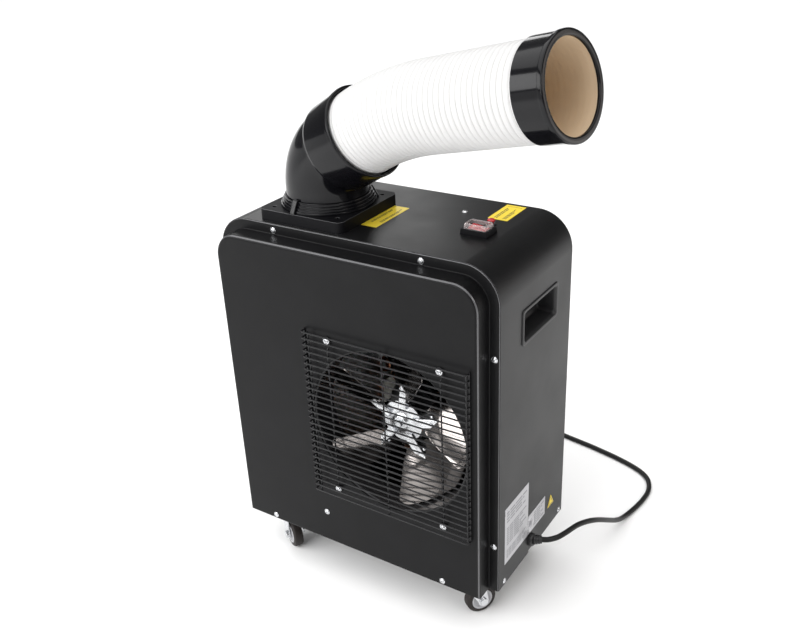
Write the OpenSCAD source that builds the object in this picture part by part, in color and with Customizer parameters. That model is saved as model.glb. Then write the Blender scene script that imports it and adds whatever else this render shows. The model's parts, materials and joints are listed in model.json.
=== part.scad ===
// Portable spot air conditioner on casters: a black sheet-metal cabinet with the condenser fan on its
// front face and a swivelling air duct on top. Millimetres, +Z up. The floor is z = 0 and the fan
// faces -Y. Modules are drawn about the middle of the cabinet, and place() shifts them to the origin.

/* [Cabinet] */
// Width of the cover across its two sides
cab_w = 380; // [376:1:384]
// Depth of the cover, without the raised front panel
cab_d = 182; // [180:1:184]
// Height of the cover above its bottom edge
cab_h = 420; // [418:1:424]
// Outer radius of the cover's two top corners
corner_r = 44; // [40:1:46]
// Height of the cover's bottom edge above the floor
lift = 65; // [65:1:68]
// Thickness of the sheet metal
sheet = 1.2; // [1:0.1:1.5]
// Width of the front panel's flat rim
rim_w = 13; // [12:1:14]
// How far the front panel's raised face stands out of its rim
raised = 26; // [25:1:28]

/* [Condenser fan] */
// Fan centre to the right of the cabinet's middle
fan_x = 58; // [56:1:60]
// Fan centre above the cover's bottom edge
fan_h = 197; // [195:1:199]
// Tip radius of the fan blades
fan_r = 100; // [96:1:101]
// Radius of the round opening in the front panel
opening_r = 106; // [105:1:107]
// Half of the wire guard's width
guard_hw = 109; // [108:1:112]
// Half of the wire guard's height
guard_hh = 111; // [110:1:114]
// Horizontal wires in the guard
guard_wires = 28; // [20:1:30]
// Radius of the guard's wire
wire_r = 1; // [0.8:0.1:1.2]
// Gap between the guard's wire centres and the panel
guard_gap = 8; // [7:0.5:9]

/* [Air duct] */
// Duct centre to the right of the cabinet's middle
duct_x = -70; // [-72:1:-68]
// Duct centre behind the cabinet's middle
duct_y = -28; // [-30:1:-27]
// Side of the square duct base
base_side = 118; // [116:1:120]
// Thickness of the duct base
base_t = 14; // [12:1:15]
// Hole-to-hole distance in the duct base
base_pitch = 91; // [90:0.5:92]
// Outer radius of the elbow
elbow_r = 49; // [48:0.5:49.5]
// Radius of the elbow's centre line
elbow_bend = 57; // [56:1:60]
// Angle that the elbow turns through from straight up
elbow_turn = 59; // [55:1:60]
// Length of the elbow's wider mouth
mouth_len = 46; // [44:1:48]
// Outer radius of the flexible duct
hose_r = 49; // [48.5:0.5:49]
// Wall of the flexible duct between its ribs
hose_wall = 2.4; // [2:0.1:3]
// Bend radius of the flexible duct where it leaves the elbow
hose_bend = 327; // [320:1:335]
// Angle that the flexible duct turns through
hose_turn = 17.8; // [17:0.1:18.5]
// Straight length of the flexible duct after its bend
hose_straight = 134; // [130:1:140]
// Compass direction of the duct, measured from +X
duct_heading = -8; // [-10:1:-6]
// Inner radius of the end collar's mouth
outlet_r = 44.5; // [44:0.5:45]

/* [Casters] */
// Radius of a caster wheel
wheel_r = 20; // [19:0.5:20]
// Width of a caster wheel
wheel_w = 15; // [14:0.5:15]
// Swivel pin to wheel axle
trail = 12.5; // [12:0.5:13]
// Swivel pins left and right of the middle
caster_x = 144; // [142:1:146]
// Front swivel pins ahead of the middle
caster_front = 77; // [76:1:78]
// Rear swivel pins behind the middle
caster_rear = 70; // [68:1:71]

/* [Power cord] */
// Radius of the power cord
cord_r = 3.5; // [3:0.5:3.5]

/* [Hidden] */
$fn = 64;

black_paint = "#2b2b2d";
face_paint = "#55555a";
zinc = "#c9ccd0";
copper = "#b87345";
steel = "#9aa0a6";

gap = 0.4;                              // clearance between parts that only pass each other
top_z = lift + cab_h;
pan_h = 14;                             // height of the base pan's walls
floor_z = lift + sheet;                 // top of the base pan's floor
half_w = cab_w / 2;
half_d = cab_d / 2;
face_y = -half_d - raised;              // the raised face of the front panel
fan_z = lift + fan_h;
hub_y = -82;                            // the plane of the fan hub
guard_y = face_y - guard_gap;

// The duct's line, as [distance out, height] above the cover, in the upright plane of duct_heading
base_rise = 35;                         // height at which the elbow starts to bend
lean = 90 - elbow_turn;                 // elevation of the elbow's mouth
mouth_out = elbow_bend * (1 - cos(elbow_turn)) + mouth_len * cos(lean);
mouth_up = base_rise + elbow_bend * sin(elbow_turn) + mouth_len * sin(lean);
end_lean = lean - hose_turn;            // elevation of the outlet
bend_out = mouth_out + hose_bend * (sin(lean) - sin(end_lean));
bend_up = mouth_up + hose_bend * (cos(end_lean) - cos(lean));
collar_out = bend_out + hose_straight * cos(end_lean);
collar_up = bend_up + hose_straight * sin(end_lean);
collar_len = 35;
hose_in = 20;                           // how far the flexible duct reaches into the elbow
// Depth of the lip at the collar's mouth, which the flexible duct meets
lip_deep = 3;
lip_r = 51.5;

// The box that the object fills without its cord: from the left handle's lip to the outlet's lip,
// and from the guard's wires to the drain plug
handle_lip = 1.5;
outlet_nx = cos(end_lean) * cos(duct_heading);
x_low = -half_w - handle_lip;
x_high = duct_x + (collar_out + collar_len * cos(end_lean)) * cos(duct_heading)
    + lip_r * sqrt(1 - outlet_nx * outlet_nx);
y_low = guard_y - wire_r;
spout_end = half_d + 22;
y_high = spout_end + 4;

// Where the casters stand and which way each one trails: name, x, y, compass direction of the trail
CASTERS = [["fl", -caster_x, -caster_front, -30], ["fr", caster_x, -caster_front, 57],
    ["rl", -caster_x, caster_rear, 150], ["rr", caster_x, caster_rear, 200]];

// The cord's route from the boot's tip to the coil, and from the coil to the plug
ROUTE = [[202.2, 2.7, 81.5], [208.4, 5.8, 81.6], [213.7, 10.9, 81.7], [217.8, 16.8, 81.7],
    [220.8, 24.4, 81.5], [223.3, 33, 80.9], [225.4, 43, 79.9], [228, 56, 77.6],
    [231.5, 70, 73.6], [235, 84, 68], [238, 98, 60.8], [240.5, 112, 52.2], [242.2, 126, 42.8],
    [243.2, 141, 32.5], [244, 157, 22], [244.8, 174, 12.6], [246, 192, 6.3], [249, 210, 4],
    [252, 228, 3.5], [254, 246, 3.5], [254, 264, 3.5], [250, 281, 3.5], [241, 297, 3.5],
    [227, 308, 3.5], [210, 316, 3.5], [192, 322, 3.5], [174, 327, 3.5], [156, 331, 3.5],
    [138, 335, 3.5], [120, 338, 3.5], [102, 341, 3.5], [84, 344, 3.5], [66, 346, 3.5],
    [48, 347, 3.5], [30, 347, 3.5], [10, 345.5, 3.5]];
coil_x = 10;
coil_y = 300;
coil_r = 42;                            // middle of the coil's turns
LEAD_OUT = [[-34, 289, 17.5], [-32.5, 277, 17.5], [-34, 265, 16], [-38.5, 254, 14], [-46, 244, 12.5],
    [-56, 237, 12.5], [-68, 233, 13]];
plug_tip = [-68, 233, 13];

module place() {
    translate([-(x_low + x_high) / 2, -(y_low + y_high) / 2, 0]) children();
}

// A flat outline with round corners
module round_rect(w, h, r) {
    square([w - 2 * r, h], center = true);
    square([w, h - 2 * r], center = true);
    for (x = [-1, 1], y = [-1, 1]) translate([x * (w / 2 - r), y * (h / 2 - r)]) circle(r);
}

// The cabinet's outline seen from the front, drawn in from the cover's outside by inset
module arch(inset, foot) {
    w = cab_w - 2 * inset;
    h = cab_h - inset;
    r = corner_r - inset;
    translate([-w / 2, foot]) square([w, h - r - foot]);
    translate([-w / 2 + r, foot]) square([w - 2 * r, h - foot]);
    for (s = [-1, 1]) translate([s * (w / 2 - r), h - r]) circle(r);
}

// Extrudes a front-view outline from y0 to y1
module facing(y0, y1) {
    translate([0, y1, lift]) rotate([90, 0, 0]) linear_extrude(y1 - y0) children();
}

// A cylinder along +Y from y0 to y1, about an axis at x and z
module y_rod(x, z, r, y0, y1) {
    translate([x, y0, z]) rotate([-90, 0, 0]) cylinder(h = y1 - y0, r = r);
}

module x_rod(y, z, r, x0, x1) {
    translate([x0, y, z]) rotate([0, 90, 0]) cylinder(h = x1 - x0, r = r);
}

module block(a, b) {
    translate(a) cube(b - a);
}

// ---------------------------------------------------------------- cabinet

module base_pan() {
    w = half_w - sheet - gap;
    d = half_d - gap;
    color(black_paint) place() difference() {
        block([-w, -d, lift], [w, d, lift + pan_h]);
        block([-w + sheet, -d + sheet, floor_z], [w - sheet, d - sheet, lift + pan_h + 1]);
        block([w - 4, gland_y - 8, gland_z - 7], [w + 4, gland_y + 8, lift + pan_h + 1]);
    }
}

module wrap_cover() {
    color(black_paint) place() difference() {
        facing(-half_d, half_d) difference() {
            arch(0, 0);
            arch(sheet, -1);
        }
        translate([duct_x, duct_y, top_z - 5]) {
            cylinder(h = 10, r = 40.5);
            base_corners() cylinder(h = 10, r = base_hole_r);
        }
        block([switch_x - 15, switch_y - 9.5, top_z - 5], [switch_x + 15, switch_y + 9.5, top_z + 5]);
        translate([reset_x, reset_y, top_z - 5]) cylinder(h = 10, r = 4.1);
        for (s = [-1, 1]) translate([s * half_w, handle_y, handle_z]) {
            cube([10, handle_l - 7, handle_h - 7], center = true);
        }
        block([half_w - 5, gland_y - 7, lift - 1], [half_w + 5, gland_y + 7, lift + 10]);
        x_rod(gland_y, gland_z, 6.1, half_w - 5, half_w + 5);
    }
}

module front_panel() {
    color(face_paint) place() difference() {
        union() {
            facing(-half_d - sheet, -half_d) difference() {
                arch(0.6, 0);
                arch(rim_w + sheet, -1);
            }
            facing(face_y, -half_d) difference() {
                arch(rim_w, 0);
                arch(rim_w + sheet, sheet);
            }
            facing(face_y, face_y + sheet) arch(rim_w, 0);
        }
        y_rod(fan_x, fan_z, opening_r, face_y - 1, face_y + 5);
    }
}

// The rear panel: condenser slots on the fan's side, and on the blower's side a slotted window with
// a channel that holds the air filter
window_x = -120;
window_z = 230;
window_w = 112;
filter_w = 122;
filter_y = half_d + sheet + 2.2;        // the filter's inner face, clear of the panel's screws
filter_t = 5;
filter_z = [lift + window_z - 93.4, lift + window_z + 94];
module rear_panel() {
    back = half_d + sheet;
    lip_y = filter_y + filter_t + 0.6;
    guide_z = [filter_z[0] - 2.6, filter_z[1] - 14];
    color(black_paint) place() difference() {
        union() {
            facing(half_d, back) arch(0.6, 0);
            for (s = [-1, 1]) {
                x = window_x + s * (filter_w / 2 + 3);
                block([x - 1, back, guide_z[0]], [x + 1, lip_y + 1, guide_z[1]]);
                block([x - (s > 0 ? 5 : 1), lip_y, guide_z[0]], [x + (s > 0 ? 1 : 5), lip_y + 1, guide_z[1]]);
            }
            block([window_x - filter_w / 2 - 4, back, guide_z[0]],
                [window_x + filter_w / 2 + 4, lip_y + 1, guide_z[0] + 2]);
        }
        facing(half_d - 1, half_d + 2) {
            for (i = [0 : 9]) translate([window_x, window_z + (i - 4.5) * 17]) round_rect(window_w, 12, 3);
            for (i = [0 : 21]) translate([68, 45 + i * 11]) round_rect(196, 5, 2.4);
        }
        y_rod(spout_x, spout_z, 6.4, half_d - 1, half_d + 3);
    }
}

// The wire guard: level wires whose ends turn back to the panel, on upright wires behind them.
// The middle uprights end in loops on the panel, and a screw holds each loop.
UPRIGHTS = [-guard_hw + 9, 1, guard_hw - 1];
LOOPED = [-73, 77];
loop_r = 4;
loop_up = 104;
module fan_guard() {
    pitch = 2 * guard_hh / (guard_wires - 1);
    behind = guard_y + 2 * wire_r - 0.2;
    on_panel = face_y - wire_r;
    color("#3a3a3c") place() union() {
        for (i = [0 : guard_wires - 1]) {
            z = fan_z - guard_hh + i * pitch;
            x_rod(guard_y, z, wire_r, fan_x - guard_hw, fan_x + guard_hw);
            for (s = [-1, 1]) y_rod(fan_x + s * guard_hw, z, wire_r, guard_y, on_panel);
        }
        for (x = UPRIGHTS) translate([fan_x + x, behind, fan_z - guard_hh - 1.5]) {
            cylinder(h = 2 * guard_hh + 3, r = wire_r);
        }
        for (s = [-1, 1]) translate([fan_x + s * guard_hw, on_panel, fan_z - guard_hh - 1.5]) {
            cylinder(h = 2 * guard_hh + 3, r = wire_r);
        }
        for (x = LOOPED) {
            translate([fan_x + x, behind, fan_z - loop_up]) cylinder(h = 2 * loop_up, r = wire_r);
            for (s = [-1, 1]) {
                z = fan_z + s * loop_up;
                y_rod(fan_x + x, z, wire_r, behind, face_y);
                translate([fan_x + x - loop_r, on_panel, z]) rotate([90, 0, 0]) rotate_extrude() {
                    translate([loop_r, 0]) circle(wire_r, $fn = 24);
                }
            }
        }
    }
}

// Four screws with washers, through the guard's loops
module guard_screws() {
    color(zinc) place() for (x = LOOPED, s = [-1, 1]) {
        translate([fan_x + x - loop_r, face_y, fan_z + s * loop_up]) rotate([90, 0, 0]) {
            translate([0, 0, 2 * wire_r]) cylinder(h = 0.8, r = 4.2);
            translate([0, 0, 2 * wire_r + 0.8]) cylinder(h = 1.8, r = 3.1);
            translate([0, 0, -3]) cylinder(h = 6, r = 1.8);
        }
    }
}

module screw_head(r) {
    cylinder(h = 1.5, r = r);
    translate([0, 0, -3.5]) cylinder(h = 3.6, r = 1.5);
}

// Self-tapping screws all round the cabinet
FRONT_SCREWS = [[-105, 412], [96, 412], [183.4, 316], [183.4, 66], [-183.4, 316], [-183.4, 66]];
FACE_SCREWS = [[-131, 8.6], [127, 8.6], [-42.5, 47.5]];
REAR_SCREWS = [[-105, 412], [96, 412], [183.4, 316], [183.4, 66], [-183.4, 316], [-183.4, 66],
    [-131, 8], [127, 8], [0, 8]];
module cabinet_screws() {
    color(zinc) place() {
        for (p = FRONT_SCREWS) {
            translate([p[0], -half_d - sheet, lift + p[1]]) rotate([90, 0, 0]) screw_head(3.2);
        }
        for (p = FACE_SCREWS) translate([p[0], face_y, lift + p[1]]) rotate([90, 0, 0]) screw_head(3);
        for (p = REAR_SCREWS) {
            translate([p[0], half_d + sheet, lift + p[1]]) rotate([-90, 0, 0]) screw_head(3.2);
        }
        for (s = [-1, 1], y = [-78, 80]) {
            translate([s * half_w, y, lift + 7]) rotate([0, s * 90, 0]) screw_head(2.8);
        }
        translate([75, 41, top_z]) screw_head(2.8);
    }
}

// ---------------------------------------------------------------- condenser fan

module venturi_ring() {
    y0 = face_y + sheet;
    color(zinc) place() translate([fan_x, y0, fan_z]) rotate([-90, 0, 0]) rotate_extrude() {
        translate([opening_r - 2.8, 0]) square([10, 1]);
        translate([opening_r - 2.8, 0]) square([1, 34]);
    }
}

module motor_bracket() {
    color(zinc) place() difference() {
        union() {
            block([fan_x - 22, -10, floor_z], [fan_x + 22, -8, fan_z + 42]);
            block([fan_x - 22, -10, floor_z], [fan_x + 22, 18, floor_z + 2]);
        }
        y_rod(fan_x, fan_z, 12, -12, -6);
    }
}

module fan_motor() {
    color("#3d4045") place() difference() {
        union() {
            y_rod(fan_x, fan_z, 38, -52, -18);
            y_rod(fan_x, fan_z, 33, -58, -10);
            y_rod(fan_x, fan_z, 11, -62, -50);
        }
        y_rod(fan_x, fan_z, 4.05, -70, -26);
    }
}

module fan_shaft() {
    color(steel) place() {
        y_rod(fan_x, fan_z, 4, hub_y - 12, -28);
        y_rod(fan_x, fan_z, 7, hub_y - 9, hub_y - 4.5);
    }
}

blade_first = 15;                       // compass angle of the first blade, from +X in the front view
blade_pitch = 36;
module fan_arm() {
    translate([22, 0, 0]) rotate([-blade_pitch, 0, 0]) translate([0, -9, 1]) cube([34, 18, 1.2]);
}

module fan_hub() {
    color("#e2e4e6") place() translate([fan_x, hub_y, fan_z]) rotate([90, 0, 0]) difference() {
        union() {
            cylinder(h = 3, r = 27);
            cylinder(h = 9, r = 9, center = true);
            for (i = [0 : 4]) rotate(blade_first + 72 * i) fan_arm();
        }
        cylinder(h = 40, r = 4.05, center = true);
    }
}

// A pitched blade with its clockwise edge towards the front, trimmed to the tip circle
module fan_blades() {
    color("#eceef0") place() translate([fan_x, hub_y, fan_z]) rotate([90, 0, 0]) intersection() {
        for (i = [0 : 4]) rotate(blade_first + 72 * i) rotate([-blade_pitch, 0, 0]) {
            linear_extrude(1) polygon([[33, -14], [45, -24], [104, -54], [112, 0], [104, 50],
                [88, 54], [60, 36], [40, 20], [33, 12]]);
        }
        cylinder(h = 60, r = fan_r, center = true);
    }
}

// ---------------------------------------------------------------- refrigeration

// A heat exchanger's fins: one plate for every few real ones, between two end plates
module fin_stack(xs, ys, zs, pitch) {
    steps = floor((xs[1] - xs[0]) / pitch);
    for (i = [0 : steps]) {
        end = i == 0 || i == steps;
        x = xs[0] + (xs[1] - xs[0]) * i / steps;
        block([x - (end ? 0.8 : 0.3), ys[0], zs[0]], [x + (end ? 0.8 : 0.3), ys[1], zs[1]]);
    }
}

// A heat exchanger's tube: level runs, joined by return bends at alternate ends
module tube_run(xs, y, z0, pitch, runs) {
    r = 3.5;
    for (i = [0 : runs - 1]) x_rod(y, z0 + i * pitch, r, xs[0] - 1, xs[1] + 1);
    for (i = [0 : runs - 2]) {
        right = i % 2 == 0;
        translate([right ? xs[1] + 1.2 : xs[0] - 1.2, y, z0 + (i + 0.5) * pitch]) rotate([90, 0, 0])
            rotate([0, 0, right ? -90 : 90]) rotate_extrude(angle = 180) {
                translate([pitch / 2, 0]) circle(r, $fn = 24);
            }
    }
}

cond_x = [-33, 168];
cond_y = [40, 62];
cond_z = [lift + 18, lift + 300];
module condenser_fins() {
    color("#aab0b4") place() fin_stack(cond_x, cond_y, cond_z, 6);
}

module condenser_tubes() {
    color(copper) place() tube_run(cond_x, 51, cond_z[0] + 15, 18, 15);
}

evap_x = [-174, -68];
evap_y = [50, 72];
evap_z = [lift + 150, lift + 318];
module evaporator_fins() {
    color("#aab0b4") place() fin_stack(evap_x, evap_y, evap_z, 5);
}

module evaporator_tubes() {
    color(copper) place() tube_run(evap_x, 61, evap_z[0] + 12, 16, 10);
}

comp_x = -124;
comp_y = -42;
module compressor() {
    foot = 3;
    color("#26282a") place() translate([comp_x, comp_y, floor_z + 7.6]) {
        cylinder(h = foot, r = 36);
        for (a = [90, 210, 330]) rotate(a) translate([34, -7, 0]) cube([24, 14, foot]);
        translate([0, 0, foot]) cylinder(h = 112, r = 44);
        translate([0, 0, foot + 112]) cylinder(h = 8, r1 = 44, r2 = 39);
        translate([0, 0, foot + 120]) cylinder(h = 6, r1 = 39, r2 = 26);
        translate([0, 0, foot + 126]) cylinder(h = 3, r1 = 26, r2 = 10);
    }
}

module compressor_feet() {
    color("#1a1a1a") place() for (a = [90, 210, 330]) {
        translate([comp_x, comp_y, floor_z]) rotate(a) translate([51, 0, 0]) cylinder(h = 7.6, r = 6.5);
    }
}

accu = [-76, 22];
module accumulator() {
    color("#26282a") place() translate([accu[0], accu[1], lift + 30]) {
        cylinder(h = 80, r = 16);
        translate([0, 0, 80]) cylinder(h = 8, r1 = 16, r2 = 6);
        translate([0, 0, -8]) cylinder(h = 8, r1 = 6, r2 = 16);
    }
}

// Suction line through the accumulator, and the liquid line with its filter drier
module refrigerant_pipes() {
    r = 4;
    low = lift + 9;
    dry = -152;
    color(copper) place() {
        translate([accu[0], accu[1], lift + 118]) cylinder(h = 14, r = r);
        translate([accu[0], accu[1], low]) cylinder(h = 13, r = r);
        x_rod(accu[1], low, r, dry, accu[0]);
        translate([dry, accu[1], low]) {
            cylinder(h = 110, r = r);
            translate([0, 0, 40]) cylinder(h = 46, r = 9);
        }
    }
}

module partition_plate() {
    color(zinc) place() block([-52.6, -half_d + 3, floor_z], [-51.4, 36, lift + 340]);
}

// ---------------------------------------------------------------- blower

blow_x = -122;
blow_z = lift + 232;
blow_y = [-50, -6];
module blower_scroll() {
    w = 1.5;
    half = 42.5;
    plenum = [[duct_x - half, duct_y - half, top_z - 38], [duct_x + half, duct_y + half, top_z - sheet]];
    chute = [[blow_x + 10, blow_y[0], blow_z], [blow_x + 58, blow_y[1], top_z - 37]];
    color("#d8d8d4") place() difference() {
        union() {
            y_rod(blow_x, blow_z, 58, blow_y[0], blow_y[1]);
            block(chute[0], chute[1]);
            block(plenum[0], plenum[1]);
        }
        y_rod(blow_x, blow_z, 58 - w, blow_y[0] + w, blow_y[1] - w);
        block(chute[0] + [w, w, 0], chute[1] + [-w, -w, 4]);
        block(plenum[0] + [w, w, w], plenum[1] + [-w, -w, 1]);
        y_rod(blow_x, blow_z, 34, blow_y[1] - 3, blow_y[1] + 3);
        y_rod(blow_x, blow_z, 5, blow_y[0] - 3, blow_y[0] + 3);
    }
}

module blower_wheel() {
    color("#3a3c40") place() union() {
        y_rod(blow_x, blow_z, 46, -45, -43);
        y_rod(blow_x, blow_z, 9, -45, -30);
        y_rod(blow_x, blow_z, 3, -72, -40);
        difference() {
            y_rod(blow_x, blow_z, 46, -13, -11);
            y_rod(blow_x, blow_z, 36, -14, -10);
        }
        for (i = [0 : 23]) translate([blow_x, 0, blow_z]) rotate([0, i * 15, 0]) {
            translate([37, -43.5, -0.6]) rotate([0, 18, 0]) cube([8, 31, 1.2]);
        }
    }
}

module blower_motor() {
    color("#3d4045") place() difference() {
        union() {
            y_rod(blow_x, blow_z, 29, -86, -54);
            y_rod(blow_x, blow_z, 12, -55, blow_y[0]);
        }
        y_rod(blow_x, blow_z, 3.05, -74, -40);
    }
}

// ---------------------------------------------------------------- drain

spout_x = -120;
spout_z = lift + 122;
tray_z = lift + 116;
module drain_tray() {
    color("#e4e4e0") place() difference() {
        block([-182, 44, tray_z], [-60, 80, lift + 148]);
        block([-180, 46, tray_z + 2], [-62, 78, lift + 149]);
        y_rod(spout_x, spout_z, 3.5, 76, 82);
    }
}

module drain_spout() {
    color("#1c1c1e") place() difference() {
        union() {
            y_rod(spout_x, spout_z, 6, 80, spout_end - 6);
            y_rod(spout_x, spout_z, 9, half_d + sheet, half_d + sheet + 3);
        }
        y_rod(spout_x, spout_z, 3.5, 79, spout_end);
    }
}

module drain_plug() {
    color("#b3271e") place() difference() {
        union() {
            y_rod(spout_x, spout_z, 8.4, spout_end - 14, spout_end + 2);
            y_rod(spout_x, spout_z, 10, spout_end + 1, spout_end + 4);
        }
        y_rod(spout_x, spout_z, 6.4, spout_end - 15, spout_end - 5.6);
    }
}

// ---------------------------------------------------------------- electrics

module control_box() {
    w = 1.2;
    lo = [56, -56, lift + 326];
    hi = [160, 40, lift + 380];
    color(zinc) place() difference() {
        block(lo, hi);
        block(lo + [w, w, w], hi + [-w, -w, 1]);
    }
}

module run_capacitor() {
    color("#d9dadc") place() y_rod(78, lift + 346, 17, -50, 20);
}

module thermostat() {
    color("#3b3e42") place() {
        block([106, -40, lift + 327.2], [152, 6, lift + 352]);
        translate([129, -17, lift + 352]) cylinder(h = 8, r = 8);
    }
}

module air_filter() {
    w = filter_w / 2;
    rim = 7;
    color("#4a4d50") place() difference() {
        block([window_x - w, filter_y, filter_z[0]], [window_x + w, filter_y + filter_t, filter_z[1]]);
        for (y = [filter_y - 1, filter_y + 3]) {
            block([window_x - w + rim, y, filter_z[0] + rim], [window_x + w - rim, y + 3, filter_z[1] - rim]);
        }
    }
}

// ---------------------------------------------------------------- air duct

// Lays a part out along the duct: the duct's plane becomes x (out) and z (up)
module along_duct() {
    translate([duct_x, duct_y, top_z]) rotate(duct_heading) children();
}

base_hole_r = 2.6;
seat = 10;                              // height of the ledge that the elbow's flange turns on
flange_r = 51.8;
module base_corners() {
    for (x = [-1, 1], y = [-1, 1]) translate([x * base_pitch / 2, y * base_pitch / 2, 0]) children();
}

module duct_base() {
    color("#37373a") place() translate([duct_x, duct_y, top_z]) difference() {
        linear_extrude(base_t) round_rect(base_side, base_side, 8);
        translate([0, 0, -1]) cylinder(h = base_t + 2, r = 45);
        translate([0, 0, seat]) cylinder(h = base_t, r = flange_r + gap);
        translate([0, 0, -1]) base_corners() cylinder(h = base_t + 2, r = base_hole_r);
    }
}

module duct_ring() {
    inner = elbow_r + gap;
    color("#2a2a2c") place() translate([duct_x, duct_y, top_z + base_t]) rotate_extrude($fn = 96) {
        for (i = [0 : 3]) translate([inner, i * 3.2]) square([56.2 - 1.7 * i - inner, 3.3]);
    }
}

// Three spring clips that slope up the ring's ledges and hook over the topmost one
module duct_clips() {
    color("#161617") place() translate([duct_x, duct_y, top_z + base_t]) for (a = [261, 41, 151]) {
        rotate([90, 0, a]) translate([0, 0, -3]) linear_extrude(6) {
            polygon([[57.3, 0], [59.3, 0], [59.3, 1.5], [52.8, 14.8], [50, 14.8], [50, 13.4],
                [51.5, 13.4], [57.3, 2.4]]);
        }
    }
}

// A pipe from z = 0 up, and a pipe bent from straight up towards +X
module pipe(h, r_out, r_in) {
    difference() {
        cylinder(h = h, r = r_out);
        translate([0, 0, -1]) cylinder(h = h + 2, r = r_in);
    }
}

module pipe_bend(bend, turn, r_out, r_in) {
    translate([bend, 0, 0]) rotate([90, 0, 0]) rotate([0, 0, 180 - turn])
        rotate_extrude(angle = turn, $fn = 96) translate([bend, 0]) difference() {
            circle(r_out);
            circle(r_in);
        }
}

// The elbow's foot and mouth are a hair thicker than its bend
module duct_elbow() {
    r_in = elbow_r - 2.5;
    step = 0.1;
    over = 0.5;
    foot = seat + gap;
    color("#232325") place() along_duct() {
        translate([0, 0, foot]) pipe(base_rise + over - foot, elbow_r + step, r_in - step);
        translate([0, 0, foot]) pipe(3, flange_r, r_in - step);
        translate([0, 0, base_rise]) {
            pipe_bend(elbow_bend, elbow_turn, elbow_r, r_in);
            translate([elbow_bend * (1 - cos(elbow_turn)), 0, elbow_bend * sin(elbow_turn)])
                rotate([0, elbow_turn, 0]) {
                    translate([0, 0, -over]) pipe(mouth_len + over - hose_in - 4, elbow_r + 4, r_in - step);
                    translate([0, 0, mouth_len - hose_in - 4]) pipe(hose_in + 4, elbow_r + 4, hose_r + 2);
                }
        }
    }
}

// The flexible duct's two smooth cuffs are a hair thicker than the ribbed stretch between them
module flex_duct() {
    r_in = hose_r - hose_wall;
    cuff = 0.05;
    over = 0.5;
    color("#f4f4f2") place() along_duct() {
        translate([mouth_out, 0, mouth_up]) rotate([0, elbow_turn, 0]) {
            translate([0, 0, -hose_in]) pipe(hose_in + over, hose_r + cuff, r_in - cuff);
            pipe_bend(hose_bend, hose_turn, hose_r, r_in);
        }
        translate([bend_out, 0, bend_up]) rotate([0, 90 - end_lean, 0]) translate([0, 0, -over])
            pipe(hose_straight + collar_len - lip_deep - 1 + over, hose_r + cuff, r_in - cuff);
    }
}

module end_collar() {
    color("#232325") place() along_duct() translate([collar_out, 0, collar_up])
        rotate([0, 90 - end_lean, 0]) rotate_extrude($fn = 96) {
            translate([hose_r + 0.1, 0]) square([0.9, collar_len - lip_deep]);
            translate([outlet_r, collar_len - lip_deep]) square([hose_r + 1 - outlet_r, lip_deep]);
            translate([hose_r + 0.5, collar_len - 4]) square([lip_r - hose_r - 0.5, 4]);
        }
}

// ---------------------------------------------------------------- switch and reset

switch_x = 121.5;
switch_y = -12;
switch_turn = 90;                       // the switch's long side lies across the cabinet
reset_x = 121;
reset_y = 19;
module switch_body() {
    color("#1d1d1f") place() translate([switch_x, switch_y, top_z]) rotate(switch_turn) difference() {
        union() {
            linear_extrude(6.5) round_rect(24, 34, 1.5);
            block([-9, -14.5, -22], [9, 14.5, 0]);
        }
        block([-7.6, -12.6, -14], [7.6, 12.6, 7]);
        x_rod(0, 1, 1.56, -8.8, 8.8);
    }
}

module switch_rocker() {
    color("#c4242b") place() translate([switch_x, switch_y, top_z + 1]) rotate(switch_turn) {
        x_rod(0, 0, 1.5, -8.6, 8.6);
        rotate([8, 0, 0]) {
            translate([-7, -10.5, -3]) cube([14, 21, 9.2]);
            translate([-6.5, -4, -9]) cube([13, 8, 7]);
        }
    }
}

// Clear splash boot over the rocker
module switch_boot() {
    color([0.9, 0.85, 0.86, 0.5]) place() translate([switch_x, switch_y, top_z + 6.5]) {
        rotate(switch_turn) difference() {
            linear_extrude(6) round_rect(19, 29, 2);
            translate([0, 0, -1]) linear_extrude(6) round_rect(17, 27, 1.4);
        }
    }
}

module reset_bushing() {
    color("#1d1d1f") place() translate([reset_x, reset_y, top_z]) difference() {
        union() {
            cylinder(h = 1.6, r = 5.6);
            translate([0, 0, -14]) cylinder(h = 15, r = 4);
        }
        translate([0, 0, -15]) cylinder(h = 20, r = 3.3);
    }
}

module reset_button() {
    color("#b3271e") place() translate([reset_x, reset_y, top_z]) {
        translate([0, 0, -12]) cylinder(h = 16, r = 3);
        translate([0, 0, 4]) intersection() {
            cylinder(h = 4, r = 4.6);
            translate([0, 0, -3.2]) sphere(r = 5.9);
        }
    }
}

// ---------------------------------------------------------------- handles, labels, gland

handle_y = 5.5;
handle_z = lift + 330;
handle_l = 92;
handle_h = 44;
handle_deep = 24;
// A recessed cup handle: a lip on the cover and a cup that goes in behind it
module cup_handle(s) {
    color("#1f1f21") place() translate([s * half_w, handle_y, handle_z]) rotate([0, s * 90, 0]) {
        difference() {
            union() {
                linear_extrude(handle_lip) round_rect(handle_h, handle_l, 4);
                translate([0, 0, -handle_deep]) linear_extrude(handle_deep) {
                    round_rect(handle_h - 8, handle_l - 8, 3);
                }
            }
            translate([0, 0, 1.6 - handle_deep]) linear_extrude(handle_deep + 2) {
                round_rect(handle_h - 11, handle_l - 11, 2);
            }
        }
    }
}

module handle_right() {
    cup_handle(1);
}

module handle_left() {
    cup_handle(-1);
}

// Plain stickers on the top and on the right side
module yellow_labels() {
    color("#f0d840") place() {
        block([-11, -48, top_z], [10, 23, top_z + 0.3]);
        block([108, 35, top_z], [133, 85, top_z + 0.3]);
        translate([half_w, 54, lift + 32]) rotate([90, 0, 90]) linear_extrude(0.3) {
            polygon([[-9, 0], [9, 0], [0, 16]]);
        }
    }
}

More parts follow.
